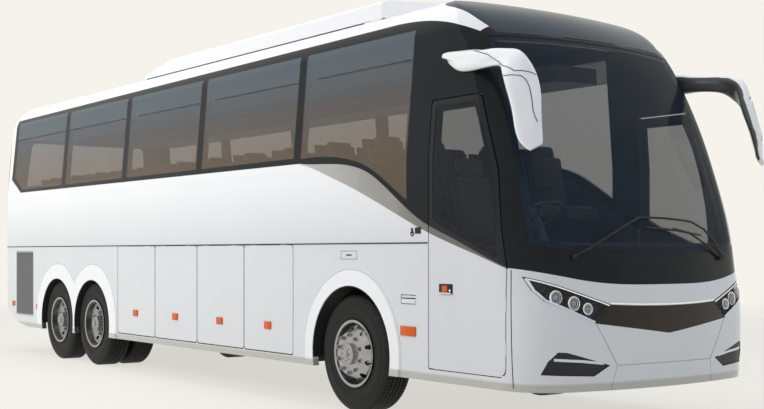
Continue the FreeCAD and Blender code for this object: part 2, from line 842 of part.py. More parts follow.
lid_outline = [(-lid_half, lid_low_z), (lid_half, lid_low_z), (lid_half, lid_high_z),
               (-lid_half, lid_high_z)]
engine_lid = rear_shell.common(rear_prism(grown(lid_outline, -panel_gap), flap_corner))
rear_glass_outline = [(-rear_glass_low_half, rear_glass_low_z), (rear_glass_low_half, rear_glass_low_z),
                      (rear_glass_top_half, rear_glass_high_z), (-rear_glass_top_half, rear_glass_high_z)]
rear_pane = layer(rear_prism(grown(rear_glass_outline, -seal_gap), rear_glass_corner), glass)
rear_lamp_slabs = []
for low_z, high_z in rear_lamp_heights:
    strip_outline = [(rear_lamp_y, low_z), (half_width, low_z), (half_width, high_z), (rear_lamp_y, high_z)]
    rear_lamp_slabs += [rear_prism(strip_outline), rear_prism(far_side(strip_outline))]
rear_lamps = [rear_shell.common(layer(slab, rear_lamp_depth)) for slab in rear_lamp_slabs]
rear_wall = rear_shell.cut(rear_prism(lid_outline, flap_corner)).cut(rear_lamps)
rear_wall = rear_wall.cut(layer(rear_prism(rear_glass_outline, rear_glass_corner), pane_rebate))
rear_wall = rear_wall.cut(rear_prism(grown(rear_glass_outline, -pane_lap), rear_glass_corner))
lid_top = engine_lid.common(box(far_back, 0, -hinge_length, hinge_length, lid_high_z - flap_corner,
                                lid_high_z))
lid_hinge = hinge_pin(vec(lid_top.optimalBoundingBox(False).XMin - lid_hinge_out, -hinge_length,
                          lid_high_z - panel_gap + hinge_in),
                      vec(0, hinge_length * 2, 0))
rear_wall = rear_wall.fuse(lid_hinge)
header_slab = box(far_back, far_front, -body_width, body_width, rear_header_z, far_up)
rear_panels = Part.makeCompound([rear_wall.cut(header_slab), rear_wall.common(header_slab)])


# Roof pod, a low fairing seated on the roof

def roof_pod():
    profile = straight((pod_rear, pod_foot_z), (pod_rear, roof_height + pod_step),
                       (pod_rear_top, pod_top_z),
                       (pod_front_top, pod_top_z), (pod_nose, pod_nose_z), (pod_chin, pod_foot_z),
                       (pod_rear, pod_foot_z))
    pod = side_slab(profile, -pod_half, pod_half)
    tops = [e for e in pod.Edges if e.BoundBox.YLength < seal_gap and e.BoundBox.ZMax > roof_height + pod_step]
    pod = pod.makeFillet(pod_round, tops)
    nose = plan_prism([(ahead(pod_rear), -pod_half), (ahead(pod_front_top), -pod_half),
                       (ahead(pod_nose), -pod_nose_half),
                       (ahead(pod_nose), pod_nose_half), (ahead(pod_front_top), pod_half),
                       (ahead(pod_rear), pod_half)],
                      0, far_up)
    return pod.common(nose).cut(outer)


# Driver's door

def door_pane_face(rim):
    """The flat outline of the door's pane: it follows the door's own edges, and the accent below."""
    edge = [(x - front_axle_x, z) for x, z in grown(at(door_outline), -rim)]
    lift = rim - door_pane_rim
    low = [(edge[0][0], door_pane_low[0][1] + lift)]
    low += [(x, z + lift) for x, z in door_pane_low[1:-1]]
    low += [(edge[3][0], door_pane_low[-1][1] + lift)]
    return side_face([low, [low[-1], edge[4], edge[5]]] + straight(edge[5], edge[6], low[0]))


door_seat = right_half(layer(through(door_pane_face(door_pane_rim)), pane_rebate))
door_opening = through(door_pane_face(door_pane_rim + pane_lap))
door_glass = right_half(layer(through(door_pane_face(door_pane_rim + seal_gap)), glass))
door_panel = door_low.fuse(door_high).cut(door_seat).cut(door_opening)

# Wheels: profiles of (radius, distance out from the tyre's outer face)

def wheel_solid(profile, place_x, side=-1):
    """A solid turned about an axle line on the right side."""
    return turned([(r, side * (wheel_face_y + out)) for r, out in profile], place_x, tyre_radius)


def tyre(place_x, inset=0.0):
    """A plain tyre: beads, bulged walls, shoulders and tread."""
    bead_r = rim_radius - bead_seat
    depth = -tyre_width
    half = [(bead_r, -bead_out), (bead_r + bead_seat, -bead_in), (wall_r, 0), (shoulder_r, -shoulder_out),
            (tyre_radius, -tread_out)]
    profile = [(r, out - inset) for r, out in half] + [(r, depth - out - inset) for r,
                                                       out in reversed(half)]
    return wheel_solid(profile, place_x)


def barrel(inset=0.0):
    """The rim's barrel between its two lips, as the outline's outer side."""
    bead_r = rim_radius - bead_seat
    depth = -tyre_width
    half = [(rim_radius - rim_wall, lip_out), (rim_radius, lip_out), (rim_radius, -bead_in + seal_gap),
            (bead_r - seal_gap, -bead_out + seal_gap)]
    return ([(r, out - inset) for r, out in half]
            + [(r, depth - out - inset) for r, out in reversed(half)])


def rim_well():
    """The radius of the barrel's inner face, and the one where the disc is rooted in it."""
    well = rim_radius - bead_seat - rim_wall
    return well, well + rim_wall / 2


def front_rim(place_x):
    """A convex steel wheel: hub and cap stand out past the lip, ten round hand holes in the disc."""
    well_r, root_r = rim_well()
    ring = wheel_solid(barrel() + [(well_r, -tyre_width), (well_r, 0)], place_x)
    disc = wheel_solid([(0, cap_out), (cap_radius * cap_flat_share, cap_out),
                        (cap_radius, cap_out - cap_round),
                        (cap_radius, nut_face_out + disc_wall), (nut_face_radius, nut_face_out + disc_wall),
                        (well_r, -disc_root), (root_r, -disc_root), (root_r, -disc_root - disc_wall),
                        (well_r, -disc_root - disc_wall * 2), (nut_face_radius, nut_face_out - disc_wall),
                        (hub_radius, nut_face_out - disc_wall), (hub_radius, -hub_depth),
                        (spindle_radius + bearing_gap, -hub_depth),
                        (spindle_radius + bearing_gap, -spindle_in + bearing_gap),
                        (0, -spindle_in + bearing_gap)], place_x)
    return ring.fuse(disc).cut(hand_holes(place_x, (nut_face_radius + well_r) / 2))


def hand_holes(place_x, pitch_radius):
    """Round holes through the wheel disc, evenly spaced."""
    holes = []
    for i in range(hand_hole_count):
        angle = 2 * math.pi * (i + 0.5) / hand_hole_count
        x = place_x + pitch_radius * math.cos(angle)
        z = tyre_radius + pitch_radius * math.sin(angle)
        holes.append(tube_y(x, z, hand_hole_radius, -wheel_face_y - cap_out, -wheel_face_y + hub_depth))
    return holes


def rear_rim(place_x, twin=False):
    """A dished wheel: the disc lies deep in the rim and the hub cap comes out level with the lip."""
    well_r, root_r = rim_well()
    back = twin_pitch + hub_depth if twin else hub_depth
    ring = wheel_solid(barrel() + [(well_r, -tyre_width), (well_r, 0)], place_x)
    disc = wheel_solid([(0, 0), (cap_radius * cap_flat_share, 0), (cap_radius, -cap_round),
                        (cap_radius, -dish_depth),
                        (nut_face_radius, -dish_depth), (well_r, -dish_root), (root_r, -dish_root),
                        (root_r, -dish_root - disc_wall), (well_r, -dish_root - disc_wall * 2),
                        (nut_face_radius, -dish_depth - disc_wall), (hub_radius, -dish_depth - disc_wall),
                        (hub_radius, -back), (spindle_radius + bearing_gap, -back),
                        (spindle_radius + bearing_gap, -spindle_in + bearing_gap),
                        (0, -spindle_in + bearing_gap)], place_x)
    rim = ring.fuse(disc).cut(hand_holes(place_x, (nut_face_radius + well_r) / 2))
    if twin:
        second = wheel_solid(barrel(twin_pitch) + [(well_r, -tyre_width - twin_pitch),
                                                   (well_r, -twin_pitch)], place_x)
        web_out = -twin_pitch - dish_depth
        web = wheel_solid([(hub_radius, web_out), (root_r, web_out), (root_r, web_out - disc_wall),
                           (hub_radius, web_out - disc_wall)], place_x)
        rim = rim.fuse([second, web])
    return rim


# Axles

def kingpin(z0, z1, radius):
    return Part.makeCylinder(radius, z1 - z0, vec(front_axle_x, -kingpin_y, z0))


eye_low_z = tyre_radius - eye_height / 2
eye_high_z = tyre_radius + eye_height / 2


def front_axle():
    """A drop beam with an eye at each end for the kingpins, and air springs up to the rails."""
    beam = box(front_axle_x - beam_half, front_axle_x + beam_half, -kingpin_y, kingpin_y,
               eye_low_z + beam_step, eye_high_z - beam_step)
    eyes = [kingpin(eye_low_z, eye_high_z, eye_radius)]
    eyes.append(other_side(eyes[0]))
    bores = [kingpin(eye_low_z, eye_high_z, kingpin_radius + bearing_gap)]
    bores.append(other_side(bores[0]))
    beam = beam.fuse(eyes + springs(front_axle_x, eye_high_z - beam_step)).cut(bores)
    return beam.removeSplitter()


def springs(place_x, foot_z):
    """A pair of air springs between an axle and the rails."""
    spring = Part.makeCylinder(spring_radius, rail_low_z - foot_z, vec(place_x, -rail_y, foot_z))
    waist_height = (rail_low_z - foot_z) / 2
    groove = Part.makeTorus(spring_radius, spring_groove, vec(place_x, -rail_y, foot_z + waist_height),
                            vec(0, 0, 1))
    spring = spring.cut(groove)
    return [spring, other_side(spring)]


def knuckle():
    """The right steering knuckle: two arms round the axle's eye, the kingpin, spindle and steering arm."""
    arm_low = kingpin(eye_low_z - running_gap - arm_height, eye_low_z - running_gap, eye_radius)
    arm_high = kingpin(eye_high_z + running_gap, eye_high_z + running_gap + arm_height, eye_radius)
    pin = kingpin(eye_low_z - running_gap, eye_high_z + running_gap, kingpin_radius)
    web_y = -kingpin_y - eye_radius - running_gap
    web_z = eye_low_z - running_gap - arm_height, eye_high_z + running_gap + arm_height
    web = box(front_axle_x - web_half, front_axle_x + web_half, web_y - web_depth, web_y, *web_z)
    arms = [box(front_axle_x - web_half, front_axle_x + web_half, web_y - web_depth, -kingpin_y, z,
                z + arm_height)
            for z in (web_z[0], web_z[1] - arm_height)]
    spindle = tube_y(front_axle_x, tyre_radius, spindle_radius, -wheel_face_y + spindle_in,
                     web_y - web_depth / 2)
    lever = box(front_axle_x - lever_reach, front_axle_x - web_half, web_y - web_depth, web_y, web_z[0],
                web_z[0] + arm_height)
    return arm_low.fuse([arm_high, pin, web, spindle, lever] + arms).removeSplitter()


def rear_axles():
    """The driven axle with its round differential, and the plain trailing axle, both on air springs."""
    shapes = []
    for place_x in (drive_axle_x, tag_axle_x):
        spindle_y = wheel_face_y - spindle_in
        back = twin_pitch + hub_depth if place_x == drive_axle_x else hub_depth
        tube_end = wheel_face_y - back - running_gap
        shape = tube_y(place_x, tyre_radius, axle_tube_radius, -tube_end, tube_end)
        shape = shape.fuse([tube_y(place_x, tyre_radius, spindle_radius, -spindle_y, spindle_y)]
                           + springs(place_x, tyre_radius))
        if place_x == drive_axle_x:
            shape = shape.fuse(Part.makeSphere(differential_radius, vec(place_x, 0, tyre_radius)))
        shapes.append(shape)
    return Part.makeCompound(shapes)


# Chassis, floors and inner walls

def chassis_frame():
    """Rails and cross members ahead of and behind the luggage bay."""
    side_low, side_high = rail_y - rail_width / 2, rail_y + rail_width / 2
    bay_rear, bay_front = ahead(flap_places[0]) - hinge_gap * 2, ahead(flap_places[-1]) + hinge_gap * 2
    shapes = []
    for x0, x1, crossings in ((ahead(rail_rear), bay_rear - plate_wall, rear_crossings),
                              (bay_front + plate_wall, ahead(rail_front), front_crossings)):
        rails = [box(x0, x1, -side_high, -side_low, rail_low_z, rail_high_z)]
        rails.append(other_side(rails[0]))
        for place in crossings:
            x = ahead(place)
            rails.append(box(x - rail_width / 2, x + rail_width / 2, -side_low, side_low,
                             rail_low_z + cross_step, rail_high_z - cross_step))
        for place in jack_places:
            x = ahead(place)
            if x0 < x < x1:
                rails.append(box(x - rail_width / 2, x + rail_width / 2, -side_high, -side_low,
                                 rail_low_z - jack_drop, rail_low_z))
                rails.append(other_side(rails[-1]))
        shapes.append(joined(rails))
    return Part.makeCompound(shapes)


def floor_structure():
    """Luggage floor, passenger deck, bulkheads, wheel-house walls and the driver's platform."""
    inside = half_width - wall
    clear_y = inside - running_gap * 2
    bay_rear, bay_front = ahead(flap_places[0]) - hinge_gap * 2, ahead(flap_places[-1]) + hinge_gap * 2
    house_front = ahead(housing_front)
    rear_end = ahead(deck_rear)
    clear_form = body_form(wall + seal_gap)
    cab = box(house_front, ahead(cab_floor_front), -clear_y, inside, rail_high_z, cab_floor_z)
    shapes = [
        cab.common(clear_form),
        box(bay_rear - plate_wall, bay_front + plate_wall, -inside, inside, bay_floor_z,
            bay_floor_z + bay_floor_wall),
        box(rear_end, bay_rear, -inside, inside, deck_z - deck_wall, deck_z).common(clear_form),
        box(bay_rear, bay_front, -clear_y, clear_y, deck_z - deck_wall, deck_z),
        box(bay_front, house_front + plate_wall, -inside, inside, deck_z - deck_wall, deck_z),
        box(bay_rear - plate_wall, bay_rear, -inside, inside, bay_floor_z, deck_z),
        box(bay_front, bay_front + plate_wall, -inside, inside, bay_floor_z, deck_z),
        box(house_front, house_front + plate_wall, -inside, inside, rail_high_z, deck_z),
        box(ahead(step_front), ahead(step_front) + plate_wall, -clear_y, clear_y, cab_floor_z, deck_z),
    ]
    shapes.append(box(house_front, ahead(step_front), -clear_y, clear_y, deck_z - deck_wall, deck_z))
    for x0, x1 in ((bay_front, house_front + plate_wall), (ahead(housing_rear), bay_rear)):
        plate = box(x0, x1, housing_y - plate_wall, housing_y, rail_high_z - plate_drop, deck_z - deck_wall)
        shapes += [plate, other_side(plate)]
    shapes.append(box(ahead(housing_rear) - plate_wall, ahead(housing_rear), -inside, inside, rail_high_z,
                      deck_z))
    return joined(shapes)


def engine_block():
    """The engine, one plain block between the rear rails."""
    half = rail_y - rail_width / 2
    return box(ahead(engine_rear), ahead(engine_front), -half, half, engine_low_z, engine_high_z)


# Inside

def passenger_seats():
    """Rows of double seats on both sides of the aisle."""
    rows = []
    for i in range(seat_rows):
        x = ahead(seat_first - i * seat_pitch)
        for y0, y1 in ((-half_width + wall + seat_wall_gap, -aisle_half),
                       (aisle_half, half_width - wall - seat_wall_gap)):
            profile = [(x, deck_z), (x + seat_foot, deck_z),
                       (x + seat_foot, deck_z + seat_height - seat_pad),
                       (x + seat_depth, deck_z + seat_height - seat_pad),
                       (x + seat_depth, deck_z + seat_height),
                       (x + seat_back, deck_z + seat_height),
                       (x - seat_rake + seat_back, deck_z + seat_top),
                       (x - seat_rake, deck_z + seat_top)]
            rows.append(side_prism(profile, 0, y0, y1))
    return Part.makeCompound(rows)


def driver_seat():
    """The driver's seat on its pedestal, on the right."""
    x = ahead(driver_x)
    y0, y1 = -driver_y - driver_width / 2, -driver_y + driver_width / 2
    profile = [(x, cab_floor_z + driver_height - seat_pad),
               (x + seat_depth, cab_floor_z + driver_height - seat_pad),
               (x + seat_depth, cab_floor_z + driver_height), (x + seat_back, cab_floor_z + driver_height),
               (x - seat_rake + seat_back, cab_floor_z + driver_top),
               (x - seat_rake, cab_floor_z + driver_top)]
    seat = side_prism(profile, 0, y0, y1)
    foot = box(x + seat_back, x + seat_depth - seat_back, y0 + seat_back, y1 - seat_back, cab_floor_z,
               cab_floor_z + driver_height - seat_pad)
    return seat.fuse(foot)


def parcel_racks():
    """A rack along each side over the seats."""
    x0, x1 = ahead(rack_rear), ahead(rack_front)
    outline = [(-rack_outer, rack_low_z), (-rack_inner, rack_low_z),
               (-rack_inner + rack_lip, rack_low_z + rack_lip),
               (-rack_inner + rack_lip, rack_high_z), (-rack_outer, rack_high_z)]
    rack = front_prism(outline, 0, x0, x1).common(body_form(wall + seal_gap))
    return both_sides(rack)


def dashboard():
    """The dashboard across the cab, with the steering column."""
    profile = [(ahead(dash_rear), cab_floor_z), (ahead(dash_front), cab_floor_z),
               (ahead(dash_front), dash_top_z),
               (ahead(dash_rear) + dash_hood, dash_top_z), (ahead(dash_rear), dash_mid_z)]
    panel = side_prism(profile, 0, -dash_half, dash_half)
    column = Part.makeCylinder(column_radius, column_length, column_foot(), column_axis())
    return panel.fuse(column)


def column_axis():
    angle = math.radians(column_angle)
    return vec(-math.cos(angle), 0, math.sin(angle))


def column_foot():
    hub = vec(ahead(steer_x), -driver_y, steer_z)
    return hub - column_axis() * (column_length + seal_gap)


def steering_wheel():
    """Rim, hub and three spokes, square to the column."""
    hub_centre = vec(ahead(steer_x), -driver_y, steer_z)
    axis = column_axis()
    ring = Part.makeTorus(steer_radius, steer_grip, vec(0, 0, 0), vec(0, 0, 1))
    hub = Part.makeCylinder(steer_hub, steer_hub, vec(0, 0, -steer_grip), vec(0, 0, 1))
    wheel = [ring, hub]
    for angle in (180, -30, 210):
        spoke = box(0, steer_radius, -steer_grip, steer_grip, -steer_grip / 2, steer_grip / 2)
        spoke.rotate(vec(0, 0, 0), vec(0, 0, 1), angle)
        wheel.append(spoke)
    wheel = joined(wheel)
    wheel.rotate(vec(0, 0, 0), vec(0, 1, 0), -(90 - column_angle))
    return wheel.translated(hub_centre + axis * steer_grip)


# Mirrors, wipers and grilles

def mirror_rings():
    """Along one mirror: the middle, the half length and the half thickness of each section."""
    middles = [vec(ahead(a), -y, z) for (a, y, z), _, _ in mirror_sections]
    rings = []
    for i, (_, (a, y, z), thin) in enumerate(mirror_sections):
        way = (middles[min(i + 1, len(middles) - 1)] - middles[max(i - 1, 0)]).normalize()
        long_way = vec(a, -y, z)
        size = long_way.Length
        long_way = (long_way - way * long_way.dot(way)).normalize()
        rings.append((middles[i], long_way * size, long_way.cross(way).normalize() * thin))
    return rings


def ring_wire(middle, long_half, thin_half):
    """A rounded rectangle as a closed wire of four quarter curves."""
    quarters = []
    for out, side in ((long_half, thin_half), (thin_half, -long_half), (-long_half, -thin_half),
                      (-thin_half, long_half)):
        curve = Part.BezierCurve()
        curve.setPoles([middle + out, middle + out + side * mirror_square_share,
                        middle + out * mirror_square_share + side, middle + side])
        quarters.append(curve.toShape())
    return Part.Wire(quarters)


def mirror_pair():
    """One mirror as a hollow-backed shell that grows out of the body, and the pane in its rear face."""
    rings = mirror_rings()
    form = Part.makeLoft([ring_wire(*ring) for ring in rings], True)
    corners = []
    for i, turn in ((mirror_head[0], 1), (mirror_head[0], -1), (mirror_head[1], -1), (mirror_head[1], 1)):
        middle, long_half, thin_half = rings[i]
        rearward = thin_half if thin_half.x < 0 else -thin_half
        corners.append(middle + long_half * turn * mirror_pane_shares[0] + rearward * mirror_pane_shares[1])
    normal = (corners[1] - corners[0]).cross(corners[2] - corners[1]).normalize()
    if normal.x > 0:
        normal = -normal
    corners[3] = corners[3] - normal * (corners[3] - corners[0]).dot(normal)
    face = Part.Face(Part.makePolygon(corners + [corners[0]]))
    pane, pocket = [rounded_slab(face, normal * depth) for depth in (glass, overrun)]
    return form.cut(pocket).cut(outer), pane


def rounded_slab(face, way):
    """A face pushed along a way, its four upright edges rounded."""
    slab = face.extrude(way)
    edges = [e for e in slab.Edges if abs(e.tangentAt(e.FirstParameter).dot(way)) > 0.99 * way.Length]
    return slab.makeFillet(mirror_round, edges)


def wiper():
    """One wiper, parked low across the glass: pivot, arm and blade."""
    skin = body_form(-wiper_stand)
    arm = front_slab(loop(strip(wiper_pivot, wiper_mid, wiper_arm_width)))
    blade = front_slab(loop(strip(wiper_blade_ends[0], wiper_blade_ends[1], wiper_blade_width)))
    arm = arm.common(skin).cut(body_form(-wiper_lift))
    blade = blade.common(body_form(-wiper_lift)).cut(outer)
    pivot = Part.makeCylinder(wiper_boss, far_front, vec(0, *wiper_pivot),
                              vec(1, 0, 0)).common(skin).cut(outer)
    return [arm, blade, pivot]


def radiator_grille():
    """Upright louvres in a frame, filling the opening in the right wall."""
    x0, x1 = ahead(radiator_rear), ahead(radiator_front)
    y0, y1 = -half_width, -half_width + louvre_depth
    frame = box(x0, x1, y0, y1, radiator_low_z, radiator_high_z)
    frame = frame.cut(box(x0 + louvre_frame, x1 - louvre_frame, y0, y1, radiator_low_z + louvre_frame,
                          radiator_high_z - louvre_frame))
    slats = []
    count = int((x1 - x0 - 2 * louvre_frame) / louvre_pitch)
    for i in range(count):
        x = x0 + louvre_frame + (i + 0.5) * louvre_pitch
        slats.append(box(x - louvre_wall / 2, x + louvre_wall / 2, y0 + louvre_set, y1, radiator_low_z,
                         radiator_high_z))
    return frame.fuse(slats)


mirror_shell, mirror_pane = mirror_pair()
parts = {
    "floor_structure": floor_structure(),
    "chassis_frame": chassis_frame(),
    "side_wall_right": low_side,
    "side_wall_left": other_side(low_side),
    "window_band_right": band,
    "window_band_left": other_side(band),
    "side_accents": both_sides(accents),
    "roof": roof,
    "roof_pod": roof_pod(),
    "front_cap": front_cap,
    "front_frame": front_frame,
    "front_bumper": front_bumper,
    "grille_panel": grille_panel,
    "front_lamps": Part.makeCompound(front_lamps),
    "lamp_lenses": Part.makeCompound(lamp_lenses),
    "fog_inserts": Part.makeCompound(fog_inserts),
    "windscreen": windscreen,
    "side_glass": Part.makeCompound(panes + [other_side(p) for p in panes] + [other_side(door_glass),
                                                                              rear_pane]),
    "rear_wall": rear_panels,
    "rear_lamps": Part.makeCompound(rear_lamps),
    "radiator_grilles": both_sides(radiator_grille()),
    "wipers": Part.makeCompound(wiper() + [other_side(w) for w in wiper()]),
    "mirrors": both_sides(mirror_shell),
    "mirror_glasses": both_sides(mirror_pane),
    "dashboard": dashboard(),
    "driver_seat": driver_seat(),
    "passenger_seats": passenger_seats(),
    "parcel_racks": parcel_racks(),
    "engine_block": engine_block(),
    "front_axle": front_axle(),
    "rear_axles": rear_axles(),
    "passenger_door": other_side(door_panel.fuse(door_accent)),
    "driver_door": door_panel,
    "driver_door_accent": door_accent,
    "driver_door_glass": door_glass,
    "engine_lid": engine_lid,
    "steering_wheel": steering_wheel(),
    "knuckle_right": knuckle(),
    "knuckle_left": other_side(knuckle()),
}
for i, flap in enumerate(flaps):
    parts["luggage_flap_right_%d" % (i + 1)] = flap
    parts["luggage_flap_left_%d" % (i + 1)] = other_side(flap)
for place, x in (("front", front_axle_x), ("drive", drive_axle_x), ("tag", tag_axle_x)):
    twin = place == "drive"
    rubber = [tyre(x)] + ([tyre(x, twin_pitch)] if twin else [])
    rim = front_rim(x) if place == "front" else rear_rim(x, twin)
    parts["tyre_%s_right" % place] = Part.makeCompound(rubber)
    parts["tyre_%s_left" % place] = other_side(Part.makeCompound(rubber))
    parts["rim_%s_right" % place] = rim
    parts["rim_%s_left" % place] = other_side(rim)

os.makedirs("parts", exist_ok=True)
for name, shape in parts.items():
    shape.exportStep("parts/%s.step" % name)
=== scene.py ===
import bpy, bmesh, json, math
from mathutils import Vector, Matrix
from mathutils.bvhtree import BVHTree


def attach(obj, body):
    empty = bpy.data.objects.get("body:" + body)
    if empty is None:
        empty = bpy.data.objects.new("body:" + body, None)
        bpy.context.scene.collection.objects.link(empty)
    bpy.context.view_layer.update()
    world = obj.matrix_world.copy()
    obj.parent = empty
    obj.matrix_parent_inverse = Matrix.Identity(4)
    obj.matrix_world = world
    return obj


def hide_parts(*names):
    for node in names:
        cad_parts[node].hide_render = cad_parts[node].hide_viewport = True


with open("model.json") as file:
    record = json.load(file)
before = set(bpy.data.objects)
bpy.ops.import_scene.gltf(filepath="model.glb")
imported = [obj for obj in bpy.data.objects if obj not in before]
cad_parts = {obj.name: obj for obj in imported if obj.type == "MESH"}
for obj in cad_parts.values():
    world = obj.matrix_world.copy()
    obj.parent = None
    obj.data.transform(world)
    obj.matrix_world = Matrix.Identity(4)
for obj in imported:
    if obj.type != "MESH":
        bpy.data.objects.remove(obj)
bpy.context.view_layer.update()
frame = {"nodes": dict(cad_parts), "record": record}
nodes = frame["nodes"]
print("frame loaded:", len(nodes), "nodes")

# What several pieces share; x runs forwards, and "right" is the side at -y
bus = {"frontAxle": 3.25, "halfWidth": 1.275}
wheels = {
    "radius": 0.522, "face": 1.245, "width": 0.290, "rim": 0.300, "steps": 180, "twin": 0.335,
    "axles": {"front": 3.25, "drive": -2.5, "tag": -3.65}}
sides = (("right", -1.0), ("left", 1.0))


# Materials

def makeMaterial(name):
    material = bpy.data.materials.new(name)
    material.use_nodes = True
    tree = material.node_tree
    return material, tree, tree.nodes["Principled BSDF"]


def fill(tree, node, sockets):  # another node's output is linked, any other value is stored
    for key, value in sockets.items():
        socket = node.inputs[key]
        if isinstance(value, bpy.types.NodeSocket):
            tree.links.new(value, socket)
        else:
            socket.default_value = (*value, 1.0) if socket.type == "RGBA" else value


def addNode(tree, kind, sockets=None, operation=None):
    node = tree.nodes.new("ShaderNode" + kind)
    if operation:
        node.operation = operation
    fill(tree, node, sockets or {})
    return node


def mathNode(tree, operation, first, second=0.0):
    return addNode(tree, "Math", {0: first, 1: second}, operation).outputs[0]


def product(tree, first, second):
    return mathNode(tree, "MULTIPLY", first, second)


def objectPlace(tree):
    return addNode(tree, "TexCoord").outputs["Object"]


def along(tree, axis):
    return addNode(tree, "SeparateXYZ", {0: objectPlace(tree)}).outputs[axis]


def noise(tree, scale, detail=3.0):
    return addNode(tree, "TexNoise", {"Vector": objectPlace(tree), "Scale": scale, "Detail": detail}).outputs["Fac"]


def rampColour(tree, source, stops):
    node = addNode(tree, "ValToRGB", {"Fac": source})
    marks = node.color_ramp.elements
    for i, (at, colour) in enumerate(stops):
        mark = marks[i] if i < 2 else marks.new(at)
        mark.position = at
        mark.color = (*colour, 1.0)
    return node.outputs["Color"]


def mixColour(tree, factor, first, second):
    node = addNode(tree, "Mix")
    node.data_type = "RGBA"
    fill(tree, node, {0: factor, 6: first, 7: second})  # where a colour mix has its factor and its two colours
    return node.outputs[2]


def fade(tree, source, low, high, ends=(0.0, 1.0)):
    return addNode(tree, "MapRange", {"Value": source, "From Min": low, "From Max": high, "To Min": ends[0],
                                      "To Max": ends[1]}).outputs[0]


def heightFade(tree, low, high):
    return fade(tree, along(tree, "Z"), low, high)


def addRelief(tree, shader, source, strength, distance):
    bump = addNode(tree, "Bump", {"Strength": strength, "Distance": distance, "Height": source})
    fill(tree, shader, {"Normal": bump.outputs[0]})


def surface(name, first, second, scale=6.0, rough=(0.3, 0.4), metallic=0.0, bump=(0.0, 80.0, 0.001), coat=0.0,
            specular=0.5):
    # A finish whose colour and roughness wander between two values; bump is strength, scale and depth
    material, tree, shader = makeMaterial(name)
    broad = noise(tree, scale)
    if bump[0]:
        addRelief(tree, shader, noise(tree, bump[1], 2.0), bump[0], bump[2])
    fill(tree, shader, {"Base Color": mixColour(tree, broad, first, second), "Metallic": metallic,
                        "Roughness": fade(tree, broad, 0.0, 1.0, rough), "Coat Weight": coat, "Coat Roughness": 0.04,
                        "Specular IOR Level": specular})
    return material


def insideFactor(tree):  # 1 where a panel faces the cabin, 0 where it faces outwards
    outwards = {0: objectPlace(tree), 1: (0.2, 1.0, 1.0), 2: (0.0, 0.0, -2.0)}  # from the cabin's long middle
    place = addNode(tree, "VectorMath", outwards, "MULTIPLY_ADD").outputs[0]
    normal = addNode(tree, "TexCoord").outputs["Normal"]
    facing = addNode(tree, "VectorMath", {0: place, 1: normal}, "DOT_PRODUCT")
    return mathNode(tree, "LESS_THAN", facing.outputs["Value"], -0.3)


white = {
    "low": ((0.690, 0.702, 0.722), (0.735, 0.746, 0.763)), "high": ((0.885, 0.89, 0.90), (0.925, 0.928, 0.935)),
    "paintedReflectionRise": (1.55, 2.1), "dust": (0.60, 0.59, 0.56), "dustRise": (1.75, 0.35), "dustShare": 0.16,
    "under": (0.44, 0.425, 0.375), "underRise": (0.446, 0.425), "underShare": 0.85,
    "mouldingHighlight": (0.90, 0.905, 0.915), "mouldingRadius": 0.7465, "joint": (0.30, 0.30, 0.31), "jointWidth": 0.0045,
    "dark": ((0.010, 0.011, 0.013), (0.018, 0.020, 0.023)), "doorSlope": -0.362, "doorHeight": 3.222,
    "trim": ((0.052, 0.054, 0.058), (0.085, 0.086, 0.090)), "rough": 0.20,
    "gloss": (0.5, 0.5), "doorGloss": (0.06, 0.16)}


def bodyPaint(name="bodyPaint", blackAbove=False):
    # White paint, darker low down and lighter high up as a painted reflection, with streaky dust that thickens
    # downwards and a grey strip of painted shade along the bottom edge; a door is black above a slope
    material, tree, shader = makeMaterial(name)
    broad, streak = noise(tree, 1.3, 4.0), noise(tree, 9.0, 5.0)
    # painted reflection: the white runs from a darker tone low down to a lighter one high up, as if the ground and sky
    # reflected in the wall
    low, high = (mixColour(tree, broad, *white[key]) for key in ("low", "high"))
    painted = mixColour(tree, heightFade(tree, *white["paintedReflectionRise"]), low, high)
    dust = product(tree, product(tree, heightFade(tree, *white["dustRise"]), streak), white["dustShare"])
    painted = mixColour(tree, dust, painted, white["dust"])
    rough = mathNode(tree, "ADD", product(tree, dust, 0.5), white["rough"])
    if not blackAbove:  # painted highlight: the arch mouldings are painted brighter than the wall round them, with a dark joint round them
        reach = 10.0
        for axleX in wheels["axles"].values():
            across, up = (mathNode(tree, "POWER", mathNode(tree, "SUBTRACT", along(tree, axis), middle), 2.0)
                          for axis, middle in (("X", axleX), ("Z", wheels["radius"])))
            reach = mathNode(tree, "MINIMUM", mathNode(tree, "SQRT", mathNode(tree, "ADD", across, up)), reach)
        for width, colour in ((white["jointWidth"], white["joint"]), (0.0, white["mouldingHighlight"])):
            near = mathNode(tree, "LESS_THAN", reach, white["mouldingRadius"] + width)
            painted = mixColour(tree, near, painted, colour)
    # painted shade: a grey strip along the bottom edge, where the real skirt turns under into shade
    under = product(tree, heightFade(tree, *white["underRise"]), white["underShare"])
    painted = mixColour(tree, under, painted, white["under"])
    if blackAbove:
        slope = product(tree, along(tree, "X"), white["doorSlope"])
        above = mathNode(tree, "SUBTRACT", along(tree, "Z"), slope)
        over = mathNode(tree, "GREATER_THAN", above, white["doorHeight"])
        painted = mixColour(tree, over, painted, mixColour(tree, broad, *white["dark"]))
        rough = mathNode(tree, "SUBTRACT", rough, product(tree, over, 0.08))
    inside = insideFactor(tree)
    addRelief(tree, shader, noise(tree, 260.0, 1.0), 0.05, 0.0004)
    trim = mixColour(tree, streak, *white["trim"])
    coat, specular = white["doorGloss"] if blackAbove else white["gloss"]
    fill(tree, shader, {"Base Color": mixColour(tree, inside, painted, trim), "Coat Weight": coat,
                        "Roughness": mathNode(tree, "ADD", rough, product(tree, inside, 0.4)),
                        "Coat Roughness": 0.05, "Specular IOR Level": specular})
    return material


